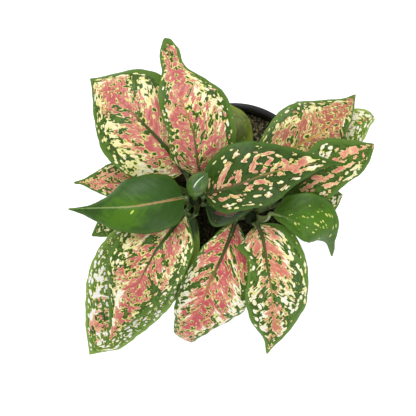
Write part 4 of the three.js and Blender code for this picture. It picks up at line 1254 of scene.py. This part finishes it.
def stalk_parts(leaf, look, rib):
    """A grooved stalk whose thin sheath wings clasp the cane at its foot."""
    curve, away = stalk_curve(leaf, rib)
    t = np.linspace(0, 1, STALK["steps"] + 1)
    angles = angles_round(STALK["sides"])
    forward = curve.tangent(t)
    inward = unit(np.array([0, 0, STALK["inward_up"]]) - away)
    inner = unit(inward - forward * (forward @ inward)[:, None])
    reach = stalk_reach(look, t, angles)
    points = tube_points(curve.at(t), inner, np.cross(forward, inner), reach, angles)
    return points, tube_faces(len(t), len(angles)), table(t[:, None], angles, reach)


def stalk_material(leaf, look, seed):
    s = Shader(leaf["name"] + "_stalk_skin")
    share, _, _ = s.values("vein")
    mottle = s.noise(s.place(), FINE["stalk"], 3.0)
    color = s.ramp(share, tuple(zip((0.0, 0.35, 1.0), look["stalk"])))
    marks = s.step(mottle, 0.6, 0.9)
    color = s.blend(s.times(marks, 0.55), color, rgb(176, 182, 128))
    lines = s.noise(s.vector(s.times(share, 3.0), seed, 0.0), 3.0)
    color = s.darken(s.step(lines, -2.0, 2.0), color, 0.2, rgb(40, 60, 24))
    roughness = s.math("MULTIPLY_ADD", s.step(mottle, -2.0, 2.0), 0.15, 0.4)
    return s.finish(color, roughness, s.bump(mottle, 0.06, 0.5))


def make_leaf(leaf, seed):
    name = leaf["name"]
    look = {**PLAIN_LOOK, **LEAF_LOOKS[name]}
    rib = spline(leaf["rib"])
    points, faces, values = blade_parts(leaf, look, rib)
    skin = BladeShader(leaf, look, rib.length, seed).skin()
    blade = make_mesh("look_" + name, points, faces, skin, look["slot"], **values)
    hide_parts(leaf["name"])
    points, faces, values = stalk_parts(leaf, look, rib)
    skin = stalk_material(leaf, look, seed)
    make_mesh("stalk_of_" + name, points, faces, skin, look["slot"], vein=values)


# The youngest leaf

def young_leaf_material():
    s = Shader("young_leaf_colours")
    share, turn, _ = s.values("vein")
    lines = s.noise(s.vector(s.times(share, 2.0), s.times(turn, 60.0), 0.0), 1.0, 3.0)
    soft = s.noise(s.vector(s.times(share, 6.0), s.times(turn, 4.0), 5.0), 1.0, 2.0)
    green = s.blend(s.step(soft, -1.5, 1.5), rgb(58, 96, 30), rgb(92, 134, 54))
    color = s.darken(s.step(lines, -1.0, 1.2), green, 0.4, rgb(30, 58, 14))
    color = s.blend(s.step(share, 0.55, 0.3), color, rgb(96, 128, 50))
    outer_edge = s.step(turn, 0.975, 0.99)
    color = s.blend(outer_edge, color, rgb(186, 204, 150))
    # Painted highlight: a near-white streak along the roll near its tip, where the light would catch it.
    painted_highlight = s.step(s.absolute(s.minus(turn, YOUNG_LEAF["painted_highlight"])), 0.018, 0.003)
    near_tip = s.times(s.step(share, 0.78, 0.84), s.step(share, 0.97, 0.94))
    color = s.blend(s.times(painted_highlight, near_tip), color, rgb(244, 250, 240))
    return s.finish(color, 0.3, s.bump(lines, 0.08, 0.6), specular=0.4, coat=0.2)


def make_young_leaf():
    """A blade still rolled round itself: its outer edge stands a step proud and winds up to the tip."""
    t = np.linspace(0, 1, YOUNG_LEAF["rows"] + 1)
    angles = angles_round(YOUNG_LEAF["sides"])
    share = (angles[None, :] / (2 * math.pi) + YOUNG_LEAF["turns"] * t[:, None]) % 1
    radius = along(YOUNG_LEAF["radii"], t)[:, None]
    step = np.minimum(YOUNG_LEAF["step"], YOUNG_LEAF["step_share"] * radius)
    reach = radius + step * (share - 0.5)
    points = tube_points(*bar_frames(spline(YOUNG_LEAF["path"]), t), reach, angles)
    faces = tube_faces(len(t), len(angles))
    values = table(t[:, None], share, reach)
    skin = young_leaf_material()
    piece = make_mesh("look_leaf_unfurling", points, faces, skin, "leaf_green", vein=values)
    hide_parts(YOUNG_LEAF["name"])


# Canes

def cane_material():
    s = Shader("cane_bark")
    share, _, scar = s.values("vein")
    mottle = s.noise(s.place(), FINE["cane"], 4.0)
    color = s.ramp(share, (
        (0.0, rgb(92, 78, 48)), (0.55, rgb(88, 98, 52)), (0.9, rgb(58, 80, 36)), (1.0, rgb(40, 58, 24)),
    ))
    color = s.darken(s.step(mottle, -1.0, 1.4), color, 0.35, rgb(48, 44, 26))
    below_crown = s.times(s.step(share, 0.98, 0.85), 0.8)
    color = s.blend(s.times(scar, below_crown), color, rgb(126, 104, 70))
    return s.finish(color, 0.62, s.bump(mottle, 0.25, 0.7), specular=0.3)


def make_cane(cane, material):
    """A cane that narrows upwards, ringed with raised leaf scars."""
    curve = stem_curve(cane)
    t = np.linspace(0, 1, STEM["rows"] + 1)
    angles = angles_round(STEM["sides"])
    scars = round(curve.length / STEM["scar_every"])
    ring = bell((t * scars + 0.5) % 1 - 0.5, STEM["scar_width"])
    radius = cane["radius"] * (1 + (STEM["neck"] - 1) * t) + STEM["scar_height"] * ring
    reach = radius[:, None] * (1 + STEM["bulge"] * np.sin(3 * angles + 9 * t[:, None]))
    points = tube_points(*bar_frames(curve, t), reach, angles)
    values = table(t[:, None], angles, ring[:, None])
    faces = tube_faces(len(t), len(angles))
    piece = make_mesh("look_" + cane["name"], points, faces, material, "cane", vein=values)
    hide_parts(cane["name"])


# Pot

def pot_outer(z):
    return POT["base"] + (POT["rim"] - POT["lip_reach"] - POT["base"]) * z / POT["height"]


def pot_inner(z):
    return pot_outer(z) - POT["wall"]


def pot_profile():
    """Radius and height down the outside from the lip and back up the inside, with rounder edges."""
    height, rim, floor, edge = POT["height"], POT["rim"], POT["floor"], POT["edge"]
    heel = POT["heel"]
    inner_heel = POT["inner_heel"]
    lip_foot = height - POT["lip_depth"]
    lip_roof = height - POT["lip_thickness"]
    lip_inside = rim - POT["lip_thickness"]
    outside = [(pot_outer(z), z) for z in np.linspace(8, lip_roof - 3, POT["wall_rows"])]
    inside = [(pot_inner(z), z) for z in np.linspace(height - 8, 10, POT["wall_rows"])]
    return [
        (0.01, 0), (pot_outer(0) - heel, 0), (pot_outer(0) - 0.5, 0.5), (pot_outer(heel), heel),
        *outside,
        (pot_outer(lip_roof), lip_roof), (lip_inside, lip_roof), (lip_inside - edge, lip_foot),
        (rim - POT["lip_thickness"] / 2 - edge, lip_foot - 0.2), (rim - edge, lip_foot),
        (rim - 0.2, height - 3 * edge), (rim, height - 2 * edge), (rim - 0.3, height - edge / 2),
        (rim - 2 * edge, height), (pot_inner(height) + edge, height),
        (pot_inner(height) + 0.1, height - 0.25), (pot_inner(height - 2 * edge), height - 2 * edge),
        *inside,
        (pot_inner(floor + inner_heel), floor + inner_heel), (pot_inner(floor) - inner_heel, floor),
        (0.01, floor),
    ]


def circle(radius, z, sides, middle=(0, 0)):
    return [
        (middle[0] + radius * math.cos(a), middle[1] + radius * math.sin(a), z) for a in angles_round(sides)
    ]


def pot_material():
    s = Shader("pot_plastic")
    position = s.place()
    x, y, z = s.split(position)
    mould = s.noise(position, FINE["mould"], 3.0)
    dust = s.noise(position, FINE["dust"], 5.0, 0.65)
    flat = [s.times(distance, FINE["scuff"]) for distance in (x, y)]
    scuff = s.noise(s.vector(*flat, s.times(z, FINE["scuff_up"])), 1.0, 3.0)
    color = s.blend(s.step(dust, -1.0, 2.2), rgb(15, 15, 16), rgb(30, 29, 28))
    color = s.blend(s.times(s.step(scuff, 1.2, 2.4), 0.35), color, rgb(92, 90, 88))
    height = s.add(s.times(mould, 0.5), s.times(scuff, 0.25))
    roughness = s.math("MULTIPLY_ADD", s.step(dust, -1.5, 2.0), 0.2, 0.34)
    return s.finish(color, roughness, s.bump(height, 0.06, 0.6), specular=0.35)


def drill_drains(pot):
    """Cuts the ring of drain holes through the pot's floor."""
    sides = POT["drain_sides"]
    points = []
    faces = []
    for i in range(POT["drains"]):
        turn = 2 * math.pi * (i + 0.5) / POT["drains"]
        middle = (POT["drain_circle"] * math.cos(turn), POT["drain_circle"] * math.sin(turn))
        faces += tube_faces(2, sides, len(points))
        for z in (-3, 2 * POT["floor"]):
            points += circle(POT["drain_radius"], z, sides, middle)
    drill = add_object("drains", points, faces)
    cut = pot.modifiers.new("drains", "BOOLEAN")
    cut.object = drill
    cut.solver = "EXACT"
    bpy.context.view_layer.update()
    finished = bpy.data.meshes.new_from_object(pot.evaluated_get(bpy.context.evaluated_depsgraph_get()))
    pot.modifiers.clear()
    pot.data = finished
    bpy.data.objects.remove(drill)


def make_pot():
    profile = pot_profile()
    sides = POT["sides"]
    points = [point for radius, z in profile for point in circle(radius, z, sides)]
    pot = make_mesh("look_pot", points, tube_faces(len(profile), sides), pot_material(), "pot_plastic")
    drill_drains(pot)
    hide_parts("pot")


# Potting mix

def soil_radius():
    return pot_inner(SOIL["top"]) - SOIL["gap"]


def lumps(x, y):
    first = 0.6 * np.sin(0.21 * x + 1.3) * np.cos(0.19 * y - 0.4)
    second = 0.4 * np.sin(0.53 * x - 0.31 * y) * np.cos(0.23 * x + 0.47 * y + 0.8)
    return SOIL["lump"] * (first + second)


def soil_height(x, y):
    out = min(math.hypot(x, y) / soil_radius(), 1)
    fine = 0.0
    for scale, height in SOIL["crumbs"]:
        fine += height * hills.noise(Vector((x / scale, y / scale, 3.0)))
    return SOIL["top"] + SOIL["mound"] * (1 - out * out) + (lumps(x, y) + fine) * (1 - out ** 6)


def painted_shade_below_leaves(s, color):
    """Painted shade: the mix is darker towards the front, below the leaves."""
    _, y, _ = s.split(s.place())
    return s.darken(s.step(y, 0.0, SOIL["painted_shade_from"] * MM), color, 0.84, rgb(18, 20, 8))


def soil_material():
    s = Shader("potting_mix")
    position = s.place()
    coarse = s.noise(position, FINE["soil_coarse"], 4.0, 0.7)
    crumbly = s.noise(position, FINE["soil_crumbly"], 2.0, 0.6)
    fine = s.noise(position, FINE["soil_fine"], 3.0, 0.7)
    light = s.step(s.add(s.times(coarse, 0.5), crumbly, s.times(fine, 0.5)), -2.2, 2.2)
    color = s.ramp(light, (
        (0.0, rgb(48, 48, 36)), (0.46, rgb(86, 84, 62)), (0.66, rgb(138, 128, 94)),
        (1.0, rgb(216, 200, 156)),
    ))
    # Painted shade below the leaves darkens the mix towards the front.
    return s.finish(painted_shade_below_leaves(s, color), 0.92, s.bump(s.add(coarse, s.times(fine, 0.7)), 0.8), specular=0.2)


def make_soil():
    rings = SOIL["rings"]
    sides = SOIL["sides"]
    rise = SOIL["foot_rise"]
    bottom = POT["floor"] + SOIL["gap"] / 2
    points = circle(pot_inner(bottom) - SOIL["foot_inset"], bottom, sides)
    points += circle(pot_inner(bottom + rise) - SOIL["gap"], bottom + rise + SOIL["gap"] / 2, sides)
    for i in range(rings, 0, -1):
        level = circle(soil_radius() * i / rings, 0, sides)
        points += [(x, y, soil_height(x, y)) for x, y, _ in level]
    piece = make_mesh("look_soil", points, tube_faces(rings + 2, sides), soil_material(), "potting_mix")
    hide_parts("soil")


def grain_material():
    s = Shader("mix_grains")
    kind, shade, _ = s.values("vein")
    fine = s.noise(s.place(), FINE["grain"], 3.0)
    bark = s.blend(shade, rgb(56, 44, 32), rgb(206, 172, 122))
    perlite = s.blend(shade, rgb(196, 190, 176), rgb(232, 228, 218))
    color = s.blend(s.step(kind, 0.4, 0.6), bark, perlite)
    color = s.darken(s.step(fine, -1.0, 1.5), color, 0.4, (0.01, 0.008, 0.006, 1))
    # Painted shade below the leaves darkens the grains towards the front, as on the mix.
    return s.finish(painted_shade_below_leaves(s, color), 0.9, s.bump(fine, 0.3), specular=0.2)


def ball():
    """The points and faces of a small round lump of radius 1."""
    mesh = bpy.data.meshes.new("ball")
    shape = bmesh.new()
    bmesh.ops.create_icosphere(shape, subdivisions=1, radius=1)
    shape.to_mesh(mesh)
    shape.free()
    points = np.array([v.co[:] for v in mesh.vertices])
    faces = [tuple(p.vertices) for p in mesh.polygons]
    bpy.data.meshes.remove(mesh)
    return points, faces


def rotated(a, b, angle):
    return a * math.cos(angle) - b * math.sin(angle), a * math.sin(angle) + b * math.cos(angle)


def grain(draw, base):
    """One chip of bark, lump of peat or bead of perlite, and its kind and shade."""
    r = (soil_radius() - GRAINS["from_wall"]) * math.sqrt(draw.random())
    a = 2 * math.pi * draw.random()
    x = r * math.cos(a)
    y = r * math.sin(a)
    is_perlite = draw.random() < GRAINS["perlite_share"]
    if is_perlite:
        size = draw.uniform(0.5, 1.3)
        stretch = (1, 1, 1)
    else:
        size = draw.uniform(0.5, 2.4) * draw.random() ** 0.5
        stretch = (draw.uniform(0.8, 2.0), draw.uniform(0.5, 1), draw.uniform(0.3, 0.6))
    turn = 2 * math.pi * draw.random()
    jitter = np.array([[draw.uniform(0.78, 1.2)] for _ in base])
    lump = base * jitter * size * np.array(stretch)
    along_x, up = rotated(lump[:, 0], lump[:, 2], draw.uniform(-GRAINS["tilt"], GRAINS["tilt"]))
    along_x, along_y = rotated(along_x, lump[:, 1], turn)
    height = soil_height(x, y) + GRAINS["raised"] * size
    values = np.tile((float(is_perlite), draw.random(), 0.0), (len(base), 1))
    return np.stack([along_x + x, along_y + y, up + height], axis=-1), values


def make_grains():
    """Bark chips, peat lumps and perlite lying on the potting mix."""
    draw = random.Random(GRAINS["seed"])
    base, base_faces = ball()
    grains = [grain(draw, base) for _ in range(GRAINS["count"])]
    faces = [tuple(len(base) * i + k for k in face) for i in range(len(grains)) for face in base_faces]
    points, values = [np.concatenate(arrays) for arrays in zip(*grains)]
    make_mesh("mix_grains", points, faces, grain_material(), "potting_mix", vein=values)


# The stage

FLOOR = {"half": 30000, "height": -0.2, "glow": 0.5}
SKY_STRENGTH = 0.55
LIT_PLACE = (0, 0, 0.18)
LIGHTS = (
    {"name": "key", "place": (-0.35, 0.85, 1.45), "size": 1.1, "watts": 15},
    {"name": "fill", "place": (0.5, -0.95, 1.2), "size": 1.0, "watts": 7},
)


def make_floor():
    s = Shader("floor_paper")
    fine = s.noise(s.place(), FINE["floor"], 3.0)
    color = s.blend(s.step(fine, -2.0, 2.0), rgb(248, 248, 248), rgb(252, 252, 252))
    s.set(s.surface.inputs["Emission Color"], (1, 1, 1, 1))
    s.set(s.surface.inputs["Emission Strength"], FLOOR["glow"])
    half_side = FLOOR["half"]
    corners = ((-1, -1), (1, -1), (1, 1), (-1, 1))
    points = [(x * half_side, y * half_side, FLOOR["height"]) for x, y in corners]
    floor = make_mesh("floor", points, [(0, 1, 2, 3)], s.finish(color, 0.9, specular=0.1))


def make_light(name, place, size, watts):
    lamp = bpy.data.lights.new(name, "AREA")
    lamp.shape = "SQUARE"
    lamp.size = size
    lamp.energy = watts
    holder = bpy.data.objects.new(name, lamp)
    holder.location = place
    holder.rotation_euler = (Vector(LIT_PLACE) - Vector(place)).to_track_quat("-Z", "Y").to_euler()
    bpy.context.scene.collection.objects.link(holder)


def make_camera():
    """Straight above the photo's middle, which is a little off the pot's own."""
    lens = bpy.data.cameras.new("camera")
    lens.sensor_width = SENSOR
    lens.lens = SENSOR * CAMERA_ABOVE_RIM / (PHOTO_WIDTH_PX * PX)
    camera = bpy.data.objects.new("camera", lens)
    middle_px = PHOTO_WIDTH_PX / 2
    camera.location = (
        (middle_px - RIM_CENTRE_PX[0]) * PX, (RIM_CENTRE_PX[1] - middle_px) * PX,
        RIM_HEIGHT + CAMERA_ABOVE_RIM,
    )
    bpy.context.scene.collection.objects.link(camera)
    bpy.context.scene.camera = camera


def make_stage():
    make_floor()
    world = bpy.data.worlds.new("studio")
    world.use_nodes = True
    sky = next(n for n in world.node_tree.nodes if n.type == "BACKGROUND")
    sky.inputs["Color"].default_value = (1, 1, 1, 1)
    sky.inputs["Strength"].default_value = SKY_STRENGTH
    bpy.context.scene.world = world
    for light in LIGHTS:
        make_light(**light)
    make_camera()
    bpy.context.scene.view_settings.view_transform = "Standard"


make_pot()
make_soil()
make_grains()
CANE_MATERIAL = cane_material()
for one_cane in STEMS:
    make_cane(one_cane, CANE_MATERIAL)
for number, one_leaf in enumerate(LEAVES):
    make_leaf(one_leaf, number + 1)
make_young_leaf()
make_stage()

bpy.context.view_layer.update()
